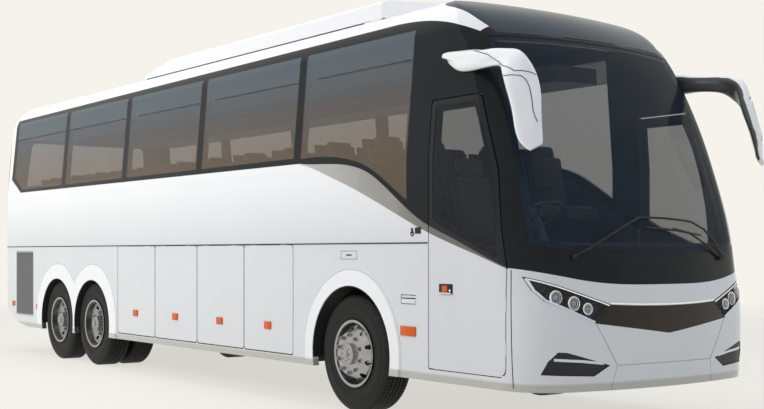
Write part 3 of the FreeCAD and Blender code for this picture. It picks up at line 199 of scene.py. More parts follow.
accent = {
    "tones": ((0.30, (0.085, 0.082, 0.076)), (0.55, (0.13, 0.125, 0.117)), (0.72, (0.22, 0.213, 0.20))),
    "flake": (0.34, 0.33, 0.32), "flakeScale": 900.0, "flakeShare": 0.35,
    "paintedHighlight": (0.80, 0.79, 0.77), "paintedHighlightShare": 0.62, "forward": (2.4, 4.4)}


def accentPaint():  # silver-bronze metallic with fine flake, pale along the body from a painted highlight and darker towards the front from painted shade
    material, tree, shader = makeMaterial("accentPaint")
    flake = addNode(tree, "TexVoronoi", {"Scale": accent["flakeScale"], "Vector": objectPlace(tree)})
    tone = rampColour(tree, noise(tree, 1.1, 2.0), accent["tones"])
    tone = mixColour(tree, product(tree, flake.outputs["Distance"], accent["flakeShare"]), tone, accent["flake"])
    # painted highlight: the tone is lifted towards a pale grey
    paintedHighlight = mixColour(tree, accent["paintedHighlightShare"], tone, accent["paintedHighlight"])
    # painted shade: towards the front the painted highlight gives way to the darker tone
    forward = fade(tree, along(tree, "X"), *accent["forward"])
    fill(tree, shader, {"Base Color": mixColour(tree, forward, paintedHighlight, tone), "Metallic": 0.75, "Roughness": 0.28,
                        "Coat Weight": 0.6})
    return material


sideTint = {
    "lineZ": 3.04, "lineHeight": 0.007, "lineFade": 0.006, "shade": (0.125, 0.155, 0.180), "shadeAlpha": 0.66,
    "cool": (0.175, 0.190, 0.205), "coolRise": (2.45, 2.95)}


def glassPane(name, colour, alpha, specular=0.5, upper=None):  # glossy, partly clear and a little uneven
    material, tree, shader = makeMaterial(name)
    fill(tree, shader, {"Alpha": alpha, "Roughness": 0.02, "IOR": 1.5, "Specular IOR Level": specular})
    tone = mixColour(tree, noise(tree, 0.8, 2.0), colour, tuple(min(1.0, c * 1.25 + 0.004) for c in colour))
    if upper:  # a cooler tint towards the top, and a shaded band above the vent line
        tone = mixColour(tree, heightFade(tree, *upper["coolRise"]), tone, upper["cool"])
        over = heightFade(tree, upper["lineZ"] - upper["lineFade"], upper["lineZ"] + upper["lineFade"])
        tone = mixColour(tree, over, tone, upper["shade"])
        fill(tree, shader, {"Alpha": mathNode(tree, "ADD", product(tree, over, upper["shadeAlpha"] - alpha), alpha)})
    fill(tree, shader, {"Base Color": tone})
    addRelief(tree, shader, noise(tree, 1.6, 1.0), 0.02, 0.002)
    return material


def tyreRubber():  # fine grain, browned where it catches dust
    material, tree, shader = makeMaterial("tyreRubber")
    tones = ((0.30, (0.007, 0.007, 0.008)), (0.62, (0.014, 0.014, 0.014)), (0.85, (0.030, 0.028, 0.026)))
    fill(tree, shader, {"Base Color": rampColour(tree, noise(tree, 45.0, 5.0), tones), "Roughness": 0.62,
                        "Specular IOR Level": 0.25})
    addRelief(tree, shader, noise(tree, 420.0, 2.0), 0.25, 0.0008)
    return material


def seatCloth():  # woven cloth: fine waves over a mottled dark ground
    material, tree, shader = makeMaterial("seatCloth")
    weave = addNode(tree, "TexWave", {"Scale": 160.0, "Distortion": 1.5, "Vector": objectPlace(tree)}).outputs["Fac"]
    tone = mixColour(tree, noise(tree, 30.0), (0.055, 0.054, 0.056), (0.115, 0.112, 0.112))
    fill(tree, shader, {"Base Color": mixColour(tree, product(tree, weave, 0.3), tone, (0.16, 0.15, 0.14)),
                        "Roughness": 0.85, "Sheen Weight": 0.3})
    addRelief(tree, shader, weave, 0.3, 0.0008)
    return material


def patterned(name, kind, output, scale, first, second, depth, values):
    # A lens that goes between two colours with a regular pattern, which is its relief too
    material, tree, shader = makeMaterial(name)
    pattern = addNode(tree, kind, {"Scale": scale, "Vector": objectPlace(tree)}).outputs[output]
    fill(tree, shader, {"Base Color": mixColour(tree, pattern, first, second), **values})
    addRelief(tree, shader, pattern, 0.3, depth)
    return material


finishes = {
    "body_white": bodyPaint(),
    "band_black": surface("bandGloss", (0.009, 0.010, 0.012), (0.016, 0.018, 0.021), 2.0, (0.10, 0.18),
        bump=(0.02, 200.0, 0.0004), specular=0.12),
    "accent_grey": accentPaint(),
    "cap_dark": surface("capPaint", (0.010, 0.024, 0.044), (0.019, 0.040, 0.066), 1.5, (0.22, 0.32),
        bump=(0.04, 260.0, 0.0004), coat=0.08, specular=0.16),
    "grille_bronze": surface("grilleBronze", (0.012, 0.008, 0.005), (0.036, 0.023, 0.013), 2.2, (0.08, 0.18),
        bump=(0.02, 200.0, 0.0004), coat=0.1, specular=0.2),
    "lamp_chrome": surface("lampHousing", (0.012, 0.013, 0.015), (0.030, 0.032, 0.035), 20.0, (0.15, 0.3),
        bump=(0.1, 120.0, 0.001), coat=0.05, specular=0.2),
    "chrome": surface("brightChrome", (0.78, 0.79, 0.80), (0.90, 0.90, 0.90), 18.0, (0.05, 0.14), 1.0,
        bump=(0.03, 300.0, 0.0004)),
    "lamp_clear": glassPane("clearLens", (0.10, 0.115, 0.13), 0.10),
    "lens_dome": surface("lensDome", (0.16, 0.20, 0.25), (0.42, 0.48, 0.55), 26.0, (0.02, 0.07),
        bump=(0.02, 90.0, 0.0004), coat=1.0),
    "lamp_strip": surface("lampStrip", (0.62, 0.66, 0.72), (0.84, 0.87, 0.92), 30.0, (0.12, 0.22),
        bump=(0.15, 160.0, 0.0006), coat=0.8),
    "label_white": surface("labelWhite", (0.70, 0.71, 0.72), (0.82, 0.82, 0.82), 14.0, (0.4, 0.5),
        bump=(0.1, 300.0, 0.0004)),
    "seam_dark": surface("seamDark", (0.010, 0.010, 0.011), (0.026, 0.026, 0.028), 40.0, (0.5, 0.7),
        bump=(0.1, 300.0, 0.0004), specular=0.2),
    "trim_black": surface("trimPlastic", (0.012, 0.012, 0.013), (0.030, 0.030, 0.031), 30.0, (0.38, 0.55),
        bump=(0.25, 500.0, 0.0006), specular=0.25),
    "windscreen_glass": glassPane("screenGlass", (0.022, 0.038, 0.056), 0.30, 0.14),
    "door_glass": glassPane("doorGlass", (0.022, 0.028, 0.034), 0.36, 0.14),
    "side_glass": glassPane("sideGlass", (0.190, 0.140, 0.100), 0.42, 0.25, sideTint),
    "lamp_red": patterned("lampRed", "TexVoronoi", "Distance", 55.0, (0.62, 0.02, 0.02), (0.36, 0.006, 0.008), 0.0015,
        {"Roughness": 0.12, "Coat Weight": 0.1}),
    "louvre_grey": surface("louvreGrey", (0.34, 0.34, 0.35), (0.46, 0.46, 0.47), 20.0, (0.4, 0.55), 0.4,
        bump=(0.2, 300.0, 0.0006)),
    "mirror_pane": surface("mirrorPane", (0.55, 0.58, 0.60), (0.66, 0.68, 0.70), 2.0, (0.02, 0.05), 1.0),
    "cab_plastic": surface("cabPlastic", (0.050, 0.054, 0.060), (0.085, 0.090, 0.098), 24.0, (0.5, 0.68),
        bump=(0.3, 520.0, 0.0006)),
    "seat_fabric": seatCloth(),
    "rack_plastic": surface("rackPlastic", (0.20, 0.215, 0.23), (0.29, 0.30, 0.315), 8.0, (0.45, 0.6),
        bump=(0.2, 400.0, 0.0006)),
    "engine_iron": surface("engineIron", (0.07, 0.07, 0.075), (0.13, 0.125, 0.12), 12.0, (0.5, 0.75), 0.3,
        bump=(0.4, 90.0, 0.002)),
    "chassis_paint": surface("chassisPaint", (0.018, 0.018, 0.02), (0.055, 0.05, 0.045), 9.0, (0.45, 0.7),
        bump=(0.3, 150.0, 0.001)),
    "floor_steel": surface("floorPaint", (0.016, 0.016, 0.017), (0.040, 0.038, 0.036), 7.0, (0.55, 0.8),
        bump=(0.3, 120.0, 0.001)),
    "axle_iron": surface("axleIron", (0.05, 0.048, 0.046), (0.11, 0.09, 0.075), 16.0, (0.55, 0.8), 0.5,
        bump=(0.5, 110.0, 0.002)),
    "tyre": tyreRubber(),
    "wheel_alloy": surface("wheelMetal", (0.27, 0.272, 0.278), (0.50, 0.502, 0.506), 14.0, (0.16, 0.34), 1.0,
        bump=(0.06, 220.0, 0.0006)),
    "marker": patterned("markerLens", "TexWave", "Fac", 60.0, (0.62, 0.075, 0.008), (0.80, 0.14, 0.018), 0.001,
        {"Roughness": 0.18, "Coat Weight": 0.05, "Specular IOR Level": 0.25}),
    "door": bodyPaint("doorPaint", True),
}
slotOf = {part["node"]: part["material_slot"] for part in frame["record"]["subparts"]}
ownFinish = {"driver_door": "door", "passenger_door": "door", "driver_door_glass": "door_glass"}
for name, node in nodes.items():
    node.data.materials.clear()
    node.data.materials.append(finishes[ownFinish.get(name, slotOf[name])])
print("materials set:", len(finishes))


# Pieces

def readyMesh(name, mesh):
    data = bpy.data.meshes.new(name)
    mesh.to_mesh(data)
    mesh.free()
    return data


def addObject(name, data):
    made = bpy.data.objects.new(name, data)
    bpy.context.scene.collection.objects.link(made)
    return made


def newPiece(name, mesh, body, slot, finish=None, angle=40.0):  # a bmesh becomes an object that rides on a body
    bmesh.ops.recalc_face_normals(mesh, faces=mesh.faces)
    data = readyMesh(name, mesh)
    data.materials.append(finishes[finish or slot])
    data.shade_smooth()
    data.set_sharp_from_angle(angle=math.radians(angle))
    piece = addObject(name, data)
    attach(piece, body)
    return piece


def addBox(mesh, low, high, bevel=0.0, segments=2):
    made = bmesh.ops.create_cube(mesh, size=1.0)["verts"]
    bmesh.ops.scale(mesh, vec=Vector(high) - Vector(low), verts=made)
    bmesh.ops.translate(mesh, vec=(Vector(high) + Vector(low)) / 2, verts=made)
    if bevel:
        edges = list({edge for vertex in made for edge in vertex.link_edges})
        result = bmesh.ops.bevel(mesh, geom=edges, offset=bevel, segments=segments, affect="EDGES", profile=0.5,
                                 offset_type="OFFSET", material=-1)
        made = list({vertex for face in result["faces"] for vertex in face.verts}
                    | {vertex for vertex in made if vertex.is_valid})
    return made


def addSideBox(mesh, side, corners, depths, bevel=0.003, segments=2):
    # A box on the side wall: x and z of two corners, and how far out of the wall it starts and ends
    near, far = sorted(side * (bus["halfWidth"] + depth) for depth in depths)
    addBox(mesh, (corners[0], near, corners[1]), (corners[2], far, corners[3]), bevel, segments)


def addTube(mesh, start, end, radius, corners=16):
    run = Vector(end) - Vector(start)
    place = Matrix.Translation((Vector(start) + Vector(end)) / 2) @ run.to_track_quat("Z", "Y").to_matrix().to_4x4()
    bmesh.ops.create_cone(mesh, cap_ends=True, segments=corners, radius1=radius, radius2=radius, depth=run.length,
                          matrix=place)


def addChain(mesh, points, radius, corners):
    for start, end in zip(points, points[1:]):
        addTube(mesh, start, end, radius, corners)


def addBall(mesh, place, radius, around, up):
    bmesh.ops.create_uvsphere(mesh, u_segments=around, v_segments=up, radius=radius, matrix=Matrix.Translation(place))


def addRing(mesh, middle, axis, radius, thick, steps=36, corners=10):  # a round hoop about an axis
    axis = Vector(axis).normalized()
    out = axis.orthogonal().normalized()
    turn = Matrix((out, axis, out.cross(axis))).transposed().to_4x4()
    place = Matrix.Translation(Vector(middle) + out * radius) @ turn
    circle = bmesh.ops.create_circle(mesh, segments=corners, radius=thick, matrix=place)["verts"]
    edges = list({edge for vertex in circle for edge in vertex.link_edges})
    bmesh.ops.spin(mesh, geom=circle + edges, cent=Vector(middle), axis=axis, angle=2 * math.pi, steps=steps,
                   use_merge=True)


def skinOf(names):  # ray trees over CAD nodes
    trees = []
    for name in names:
        mesh = bmesh.new()
        mesh.from_mesh(nodes[name].data)
        trees.append(BVHTree.FromBMesh(mesh))
        mesh.free()
    return trees


def nearest(trees, start, heading):  # the place and the normal where a ray first meets the skin
    hits = [tree.ray_cast(Vector(start), Vector(heading)) for tree in trees]
    hits = [hit for hit in hits if hit[0] is not None]
    return min(hits, key=lambda hit: hit[3])[:2] if hits else None


looks = {
    "front": lambda y, z: ((8.0, y, z), (-1.0, 0.0, 0.0)), "rear": lambda y, z: ((-8.0, y, z), (1.0, 0.0, 0.0)),
    "right": lambda x, z: ((x, -3.0, z), (0.0, 1.0, 0.0)), "left": lambda x, z: ((x, 3.0, z), (0.0, -1.0, 0.0)),
    "roof": lambda x, y: ((x, y, 6.0), (0.0, 0.0, -1.0))}  # a ray's start and its heading


def skinPoint(trees, look, across, up, proud=0.0):  # where that ray meets the skin, moved out along the normal
    hit = nearest(trees, *looks[look](across, up))
    return hit[0] + hit[1] * proud if hit else None


def stripFrom(mesh, rows, thick):  # a thin strip through pairs of edge points
    if len(rows) < 2:
        return
    grid = bmesh.ops.create_grid(mesh, x_segments=len(rows) - 1, y_segments=1, size=1.0)["verts"]
    grid = sorted(grid, key=lambda v: (round(v.co.x, 5), v.co.y))
    for i, pair in enumerate(rows):
        for k in (0, 1):
            grid[2 * i + k].co = pair[k]
    faces = list({face for vertex in grid for face in vertex.link_faces})
    bmesh.ops.recalc_face_normals(mesh, faces=faces)
    bmesh.ops.solidify(mesh, geom=faces, thickness=thick)


def sampled(route, step):  # places along a route, each with the way the route runs there
    samples = []
    for start, end in zip(route, route[1:]):
        start, end = Vector(start), Vector(end)
        count = max(1, int((end - start).length / step))
        samples += [start.lerp(end, k / count) for k in range(count)]
    samples.append(Vector(route[-1]))
    last = len(samples) - 1
    return [(sample, samples[min(i + 1, last)] - samples[max(i - 1, 0)]) for i, sample in enumerate(samples)]


seam = {"thick": 0.0012, "proud": 0.0008}


def seamLine(mesh, tree, route, width, step=0.012):  # a thin line laid on a surface near a route
    rows = []
    for sample, run in sampled(route, step):
        place, normal = tree.find_nearest(sample)[:2]
        across = normal.cross(run).normalized() * (width / 2)
        edges = [tree.find_nearest(place + offset) for offset in (across, -across)]
        rows.append([edge[0] + edge[1] * seam["proud"] for edge in edges])
    stripFrom(mesh, rows, seam["thick"])


def ribbon(mesh, route, width, trees, look, step, thick=seam["thick"], proud=seam["proud"]):
    # A thin strip that follows the skin along a flat route
    rows = []
    for sample, run in sampled(route, step):
        across = Vector((-run.y, run.x)).normalized() * (width / 2)
        pair = [skinPoint(trees, look, *(sample + offset), proud) for offset in (across, -across)]
        if None not in pair:
            rows.append(pair)
    stripFrom(mesh, rows, thick)


# Tyres and wheels

tread = {
    "wall": ((-0.012, -0.020), (0.004, -0.014), (0.016, -0.010), (0.020, -0.006), (0.045, -0.002),
             (0.050, -0.0035), (0.056, -0.0035), (0.061, -0.001), (0.100, 0.0), (0.135, -0.002),
             (0.140, -0.0045), (0.146, -0.0045), (0.151, -0.0035), (0.185, -0.010), (0.203, -0.019),
             (0.214, -0.028)),  # out from the rim, and in from the tyre's face
    "shoulder": ((-0.002, -0.036), (0.0, -0.042)), "grooves": (0.075, 0.120), "grooveDeep": 0.013,
    "grooveWide": 0.012, "grooveFlank": 0.002, "twist": 0.55, "slotWide": 0.0125, "slotDeep": 0.009}
nuts = {
    "count": 10, "pitch": 0.1675, "across": 0.0165, "height": 0.026, "frontOut": 0.042, "rearIn": 0.125,
    "tip": 0.008, "capOut": 0.085, "capRadius": 0.040, "boltCount": 8, "boltPitch": 0.062, "bolt": 0.0075}
arches = {
    "frontRadius": 0.598, "rearRadius": 0.548, "outer": 0.0125, "inner": -0.15, "half": math.radians(96.5),
    "thick": 0.004, "steps": 64}


def tyreProfile(face):  # a tyre's outline from bead to bead, as (radius, y) pairs
    radius, bottom = wheels["radius"], wheels["radius"] - tread["grooveDeep"]
    half = [(wheels["rim"] + r, y) for r, y in tread["wall"]] + [(radius + r, y) for r, y in tread["shoulder"]]
    for place in tread["grooves"]:
        flank, end = tread["grooveFlank"], place + tread["grooveWide"]
        half += [(radius, -place), (bottom, -place - flank), (bottom, flank - end), (radius, -end)]
    return [(r, face + y) for r, y in half] + [(r, face - wheels["width"] - y) for r, y in reversed(half)]


def tyreMesh(axleX, side, faces):
    # Spins the outline round the axle, narrows every other step and sinks the shoulder slots
    mesh = bmesh.new()
    radius, pitch = wheels["radius"], 2 * math.pi / wheels["steps"]
    centre = Vector((axleX, 0.0, radius))
    for face in faces:
        ring = [mesh.verts.new((axleX, side * y, radius + r)) for r, y in tyreProfile(face)]
        edges = [mesh.edges.new((ring[i - 1], ring[i])) for i in range(len(ring))]
        bmesh.ops.spin(mesh, geom=ring + edges, cent=centre, axis=(0.0, 1.0, 0.0), steps=wheels["steps"],
                       angle=2 * math.pi, use_merge=True)
    bmesh.ops.recalc_face_normals(mesh, faces=mesh.faces)
    narrowing = Matrix.Rotation(pitch * tread["twist"], 3, "Y")
    for vertex in mesh.verts:
        if round(math.atan2(vertex.co.x - axleX, vertex.co.z - radius) / pitch) % 2:
            vertex.co = narrowing @ (vertex.co - centre) + centre
    slots = []
    for face in mesh.faces:
        middle = face.calc_center_median() - centre
        lengths = [edge.calc_length() for edge in face.edges if abs(edge.verts[0].co.y - edge.verts[1].co.y) < 1e-4]
        outside = math.hypot(middle.x, middle.z) > radius - tread["slotDeep"]
        if outside and min(lengths, default=1.0) < tread["slotWide"] and face.calc_area() > 1e-5:
            slots.append(face)
    mesh.normal_update()
    bmesh.ops.inset_individual(mesh, faces=slots, thickness=0.0004, depth=-tread["slotDeep"])
    return mesh


def roundHub(axleX, y, pitch, count, start=0.0):  # places evenly round a wheel's middle
    turns = [2 * math.pi * (i + start) / count for i in range(count)]
    return [Vector((axleX + pitch * math.cos(a), y, wheels["radius"] + pitch * math.sin(a))) for a in turns]


def wheelExtras(axleX, side, front):  # wheel nuts with their washers and tips, and the hub cap with its bolts
    mesh = bmesh.new()
    out = Vector((0.0, side, 0.0))
    face = wheels["face"] + (nuts["frontOut"] if front else -nuts["rearIn"])
    height, across = nuts["height"], nuts["across"]
    for place in roundHub(axleX, side * face, nuts["pitch"], nuts["count"], 0.5):
        for start, end, radius, corners in ((0.0, 0.004, across * 1.35, 24), (0.003, height, across, 6),
                                            (height, height + nuts["tip"], across * 0.55, 14)):
            addTube(mesh, place + out * start, place + out * end, radius, corners)
    capFace = side * (wheels["face"] + (nuts["capOut"] if front else 0.0))
    for place in roundHub(axleX, capFace, nuts["boltPitch"], nuts["boltCount"]):
        addTube(mesh, place - out * 0.002, place + out * 0.006, nuts["bolt"], 6)
    centre = Vector((axleX, capFace, wheels["radius"]))
    addTube(mesh, centre - out * 0.002, centre + out * 0.005, nuts["capRadius"], 32)
    addTube(mesh, centre + out * 0.004, centre + out * 0.008, nuts["capRadius"] * 0.65, 32)
    return mesh


for sideName, side in sides:
    liner = bmesh.new()
    for place, axleX in wheels["axles"].items():
        body = "wheel_%s_%s" % (place, sideName)
        faces = [wheels["face"]] + ([wheels["face"] - wheels["twin"]] if place == "drive" else [])
        tyre = newPiece("tyreTread_%s_%s" % (place, sideName), tyreMesh(axleX, side, faces), body, "tyre", angle=30.0)
        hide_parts("tyre_%s_%s" % (place, sideName))
        extras = wheelExtras(axleX, side, place == "front")
        newPiece("wheelNuts_%s_%s" % (place, sideName), extras, body, "wheel_alloy", angle=30.0)
        top = wheels["radius"] + arches["frontRadius" if place == "front" else "rearRadius"]
        rim = [liner.verts.new((axleX, side * (bus["halfWidth"] + arches[edge]), top)) for edge in ("outer", "inner")]
        centre = (axleX, 0.0, wheels["radius"])
        bmesh.ops.rotate(liner, verts=rim, cent=centre, matrix=Matrix.Rotation(-arches["half"], 3, "Y"))
        bmesh.ops.spin(liner, geom=rim + [liner.edges.new(rim)], cent=centre, axis=(0.0, 1.0, 0.0),
                       angle=2 * arches["half"], steps=arches["steps"])
    bmesh.ops.remove_doubles(liner, verts=liner.verts, dist=1e-6)
    bmesh.ops.recalc_face_normals(liner, faces=liner.faces)
    bmesh.ops.solidify(liner, geom=liner.faces[:], thickness=arches["thick"])
    newPiece("archLiners_%s" % sideName, liner, "root", "trim_black", "seam_dark")
print("tyres and wheels dressed")


# Lamps and front trim

projectors = {
    "places": ((1.050, 1.085, 0.058), (0.915, 1.040, 0.058), (0.800, 0.998, 0.048)),  # y, z and radius
    "sunk": 0.012, "rings": ((0.88, 0.0060, 0.0), (0.66, 0.0036, 0.006)),  # share of the radius, thickness, depth
    "ball": 0.60, "ballBack": 0.46}
lampLines = {  # width, finish, and the places across and up that a line runs through
    "runningLight": (0.016, "lamp_strip", ((1.205, 1.228), (1.176, 1.138), (1.120, 1.062), (0.935, 0.975),
                                           (0.752, 0.897))),
    "brow": (0.010, "chrome", ((0.612, 1.020), (0.90, 1.118), (1.195, 1.222))),
    "fogStrip": (0.020, "lamp_strip", ((0.66, 0.583), (0.86, 0.606), (1.075, 0.622))),
    "grilleTop": (0.012, "chrome", ((0.0, 1.019), (0.30, 1.023), (0.598, 1.036)))}
frontSkin = skinOf(["front_bumper", "front_frame", "front_lamps", "lamp_lenses", "fog_inserts", "grille_panel"])
lensSkin = skinOf(["lamp_lenses"])
for sideName, side in sides:
    rings, domes = bmesh.new(), bmesh.new()
    for y, z, radius in projectors["places"]:
        place, normal = nearest(lensSkin, *looks["front"](side * y, z))
        facing = (normal + Vector((1.2, 0.0, 0.0))).normalized()
        middle = place - facing * projectors["sunk"]
        for share, thick, depth in projectors["rings"]:
            addRing(rings, middle - facing * depth, facing, radius * share, thick)
        addBall(domes, middle - facing * radius * projectors["ballBack"], radius * projectors["ball"], 28, 16)
    newPiece("projectorRings_%s" % sideName, rings, "root", "lamp_chrome", "chrome")
    newPiece("projectorDomes_%s" % sideName, domes, "root", "lamp_chrome", "lens_dome")
    for line, (width, finish, route) in lampLines.items():
        mesh = bmesh.new()
        route = [(side * y, z) for y, z in route]
        ribbon(mesh, route, width, frontSkin, "front", 0.02, 0.004, 0.0015)
        newPiece("%s_%s" % (line, sideName), mesh, "root", "lamp_chrome", finish)
print("front trim done")


# Wipers and seams

wiperPlan = {
    "arms": (((-0.883, 1.392), (-0.768, 1.442), (-0.533, 1.555), (-0.324, 1.650), (-0.210, 1.688)),
             ((0.816, 1.388), (0.687, 1.500), (0.556, 1.605), (0.404, 1.660), (0.300, 1.672)),
             ((0.776, 1.382), (0.556, 1.480), (0.347, 1.574), (0.150, 1.606))),
    "blades": (((-0.250, 1.694), (0.060, 1.690), (0.420, 1.672)), ((0.520, 1.560), (0.230, 1.592), (-0.150, 1.616))),
    "pivots": ((-0.883, 1.388), (0.816, 1.384), (0.776, 1.378)),
    "radius": 0.0085, "foot": 0.010, "stand": 0.030, "bladeStand": 0.014, "bladeRadius": 0.0070,
    "carrierRadius": 0.0045, "clawRadius": 0.0032, "pivotRadius": 0.021, "pivotHeight": 0.022,
    "parts": 8}  # places across and up; arms stand off the glass by "stand", rubbers by "bladeStand"
screenSkin = skinOf(["windscreen", "front_frame"])


def overScreen(place, stand):  # a place held off the windscreen along its normal
    return skinPoint(screenSkin, "front", *place, stand)


mesh = bmesh.new()
for route in wiperPlan["arms"]:
    points = [overScreen(place, wiperPlan["stand" if i else "foot"]) for i, place in enumerate(route)]
    addChain(mesh, points, wiperPlan["radius"], 12)
    for point in points[1:]:
        addBall(mesh, point, wiperPlan["radius"], 12, 8)
for route in wiperPlan["blades"]:
    parts, stand, carrierRadius = wiperPlan["parts"], wiperPlan["bladeStand"], wiperPlan["carrierRadius"]
    stretches = [(Vector(start), Vector(end)) for start, end in zip(route, route[1:])]
    samples = [start.lerp(end, k / parts) for start, end in stretches for k in range(parts)] + [stretches[-1][1]]
    addChain(mesh, [overScreen(place, stand) for place in samples], wiperPlan["bladeRadius"], 8)
    for place in samples[:-1:2]:
        addTube(mesh, overScreen(place, stand), overScreen(place, 0.002), wiperPlan["clawRadius"], 6)
    addChain(mesh, [overScreen(place, wiperPlan["stand"]) for place in samples[4:-4]], carrierRadius, 8)
    for place in (samples[4], samples[-5]):
        addTube(mesh, overScreen(place, stand), overScreen(place, wiperPlan["stand"] + 0.001), carrierRadius, 8)
for place in wiperPlan["pivots"]:
    addTube(mesh, overScreen(place, 0.0), overScreen(place, wiperPlan["pivotHeight"]), wiperPlan["pivotRadius"], 24)
    addBall(mesh, overScreen(place, wiperPlan["pivotHeight"] - 0.002), wiperPlan["pivotRadius"] / 1.2, 20, 10)
wiperPiece = newPiece("wiperSet", mesh, "root", "trim_black", angle=50.0)
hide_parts("wipers")

capSeam = ((4.870, -0.925, 3.176), (4.913, -0.569, 3.190), (4.944, -0.172, 3.195), (4.944, 0.172, 3.195),
           (4.913, 0.569, 3.190), (4.870, 0.925, 3.176))
cornerSeam = ((5.350, 1.290), (5.364, 0.966), (5.372, 0.612), (5.380, 0.400))
wholeCap = bmesh.new()
for name in ("front_cap", "windscreen", "front_frame", "roof"):
    wholeCap.from_mesh(nodes[name].data)
mesh = bmesh.new()
seamLine(mesh, BVHTree.FromBMesh(wholeCap), capSeam, 0.010, 0.02)
newPiece("capSeam", mesh, "root", "trim_black", "seam_dark")
wholeCap.free()
cornerSkin = skinOf(["front_bumper", "side_wall_right", "side_wall_left"])
for sideName, side in sides:
    mesh = bmesh.new()
    ribbon(mesh, cornerSeam, 0.006, cornerSkin, sideName, 0.04)
    newPiece("cornerSeam_%s" % sideName, mesh, "root", "trim_black", "seam_dark")
print("wipers and seams done")


# Seats: a pad has its size, its seams (axis, place, width, depth) and its place, which is how far forward, how far
# up the leaning back, and how high it stands; a bar has x from and to, half its width, z from and to, and its bevel

stuffing = {
    "reach": {"pan": 0.014, "back": 0.014, "rest": 0.012}, "voxel": 0.024, "frames": 20,
    "cloth": {"quality": 4, "mass": 0.3, "use_pressure": True, "uniform_pressure_force": 4.0}}
seats = {
    "rows": 11, "first": 3.430, "pitch": 0.780, "deck": 1.400, "middle": 0.7025, "apart": 0.243, "lean": -13.6,
    "pan": ((0.49, 0.455, 0.115), ((1, 0.155, 0.022, 0.22), (1, -0.155, 0.022, 0.22), (0, 0.10, 0.020, 0.14)),
            (0.262, 0.0, 0.400)),
    "back": ((0.115, 0.44, 0.52), ((1, 0.150, 0.022, 0.24), (1, -0.150, 0.022, 0.24), (2, 0.06, 0.020, 0.16),
                                   (2, -0.12, 0.020, 0.16)), (0.058, 0.27, 0.725)),
    "rest": ((0.095, 0.28, 0.155), ((2, -0.045, 0.014, 0.16),), (0.058, 0.545, 0.995)),
    "shell": ((0.012, 0.225, 0.30), 0.010, (-0.012, 0.30, 0.745)),
    "legs": 0.30, "leg": (0.10, 0.17, 0.022, 0.0, 0.345, 0.008), "foot": (0.02, 0.30, 0.030, 0.0, 0.022, 0.006),
    "arms": (-0.486, 0.0, 0.483), "arm": (0.02, 0.34, 0.018, 0.610, 0.650, 0.012, 3),
    "rail": (0.14, 0.46, 0.335, 0.017),  # how far forward, half its length, how high, and its radius
    "grip": (-0.045, 0.50, 0.960), "gripIn": 0.455, "gripRadius": 0.042, "gripThick": 0.009}
driver = {
    "x": 4.230, "y": -0.640, "floor": 0.960,
    "pan": ((0.50, 0.50, 0.12), ((1, 0.165, 0.022, 0.24), (1, -0.165, 0.022, 0.24), (0, 0.06, 0.02, 0.16)),
            (0.27, 0.0, 0.455)),
    "back": ((0.12, 0.49, 0.60), ((1, 0.16, 0.022, 0.26), (1, -0.16, 0.022, 0.26), (2, 0.10, 0.02, 0.16),
                                  (2, -0.10, 0.02, 0.16)), (0.060, 0.30, 0.825)),
    "rest": ((0.10, 0.28, 0.17), ((2, -0.05, 0.014, 0.16),), (0.058, 0.67, 1.195)),
    "shell": ((0.018, 0.24, 0.31), 0.014, (-0.016, 0.32, 0.835)),
    "plinth": (0.08, 0.44, 0.19, 0.0, 0.07, 0.012), "fold": (0.115, 0.405, 0.15, 0.0, 0.046, 0.018, 3),
    "folds": 5, "foldStart": 0.072, "foldPitch": 0.052, "tray": (0.05, 0.47, 0.22, 0.335, 0.392, 0.014),
    "armrest": (((0.02, 0.28, 0.70), (0.34, 0.28, 0.72), 0.022), ((-0.02, 0.24, 0.70), (-0.02, 0.29, 0.70), 0.020))}


def plumpPad(size, grooves, reach):
    # A stuffed pad about the origin: a rounded form swollen by a short cloth run, then pinched along its seams
    mesh = bmesh.new()
    low = [-v / 2 + reach * 0.5 for v in size]
    addBox(mesh, low, [-v for v in low], min(size) * 0.24, 3)
    pad = addObject("padForm", readyMesh("padForm", mesh))
    even = pad.modifiers.new("even", "REMESH")
    even.mode = "VOXEL"
    even.voxel_size = stuffing["voxel"]
    data = bpy.data.meshes.new_from_object(pad.evaluated_get(bpy.context.evaluated_depsgraph_get()))
    pad.modifiers.clear()
    pad.data = data
    start = [vertex.co.copy() for vertex in data.vertices]
    moved = start
    cloth = pad.modifiers.new("cloth", "CLOTH")
    for setting, value in stuffing["cloth"].items():
        setattr(cloth.settings, setting, value)
    cloth.settings.effector_weights.gravity = 0.0
    cloth.point_cache.frame_start, cloth.point_cache.frame_end = 1, stuffing["frames"]
    for frameIndex in range(1, stuffing["frames"] + 1):
        bpy.context.scene.frame_set(frameIndex)
    swollen = pad.evaluated_get(bpy.context.evaluated_depsgraph_get()).data
    moved = [vertex.co.copy() for vertex in swollen.vertices]
    bpy.context.scene.frame_set(1)
    pad.modifiers.clear()
    mesh = bmesh.new()
    mesh.from_mesh(data)
    for i, vertex in enumerate(mesh.verts):
        travel = moved[i] - start[i]
        vertex.co = start[i] + travel * min(1.0, reach / max(travel.length, 1e-6))
    flat = min(range(3), key=lambda k: size[k])
    for axis, place, width, depth in grooves:
        for vertex in mesh.verts:
            away = abs(vertex.co[axis] - place) / width
            if away < 1.0:
                vertex.co[flat] *= 1.0 - depth * (1.0 - away * away)
    bmesh.ops.smooth_vert(mesh, verts=mesh.verts, factor=0.3, use_axis_x=True, use_axis_y=True, use_axis_z=True)
    bpy.data.objects.remove(pad)
    return readyMesh("padReady", mesh)


def readyPads(kind):
    return {part: plumpPad(kind[part][0], kind[part][1], reach) for part, reach in stuffing["reach"].items()}


backSlope = math.tan(math.radians(seats["lean"]))


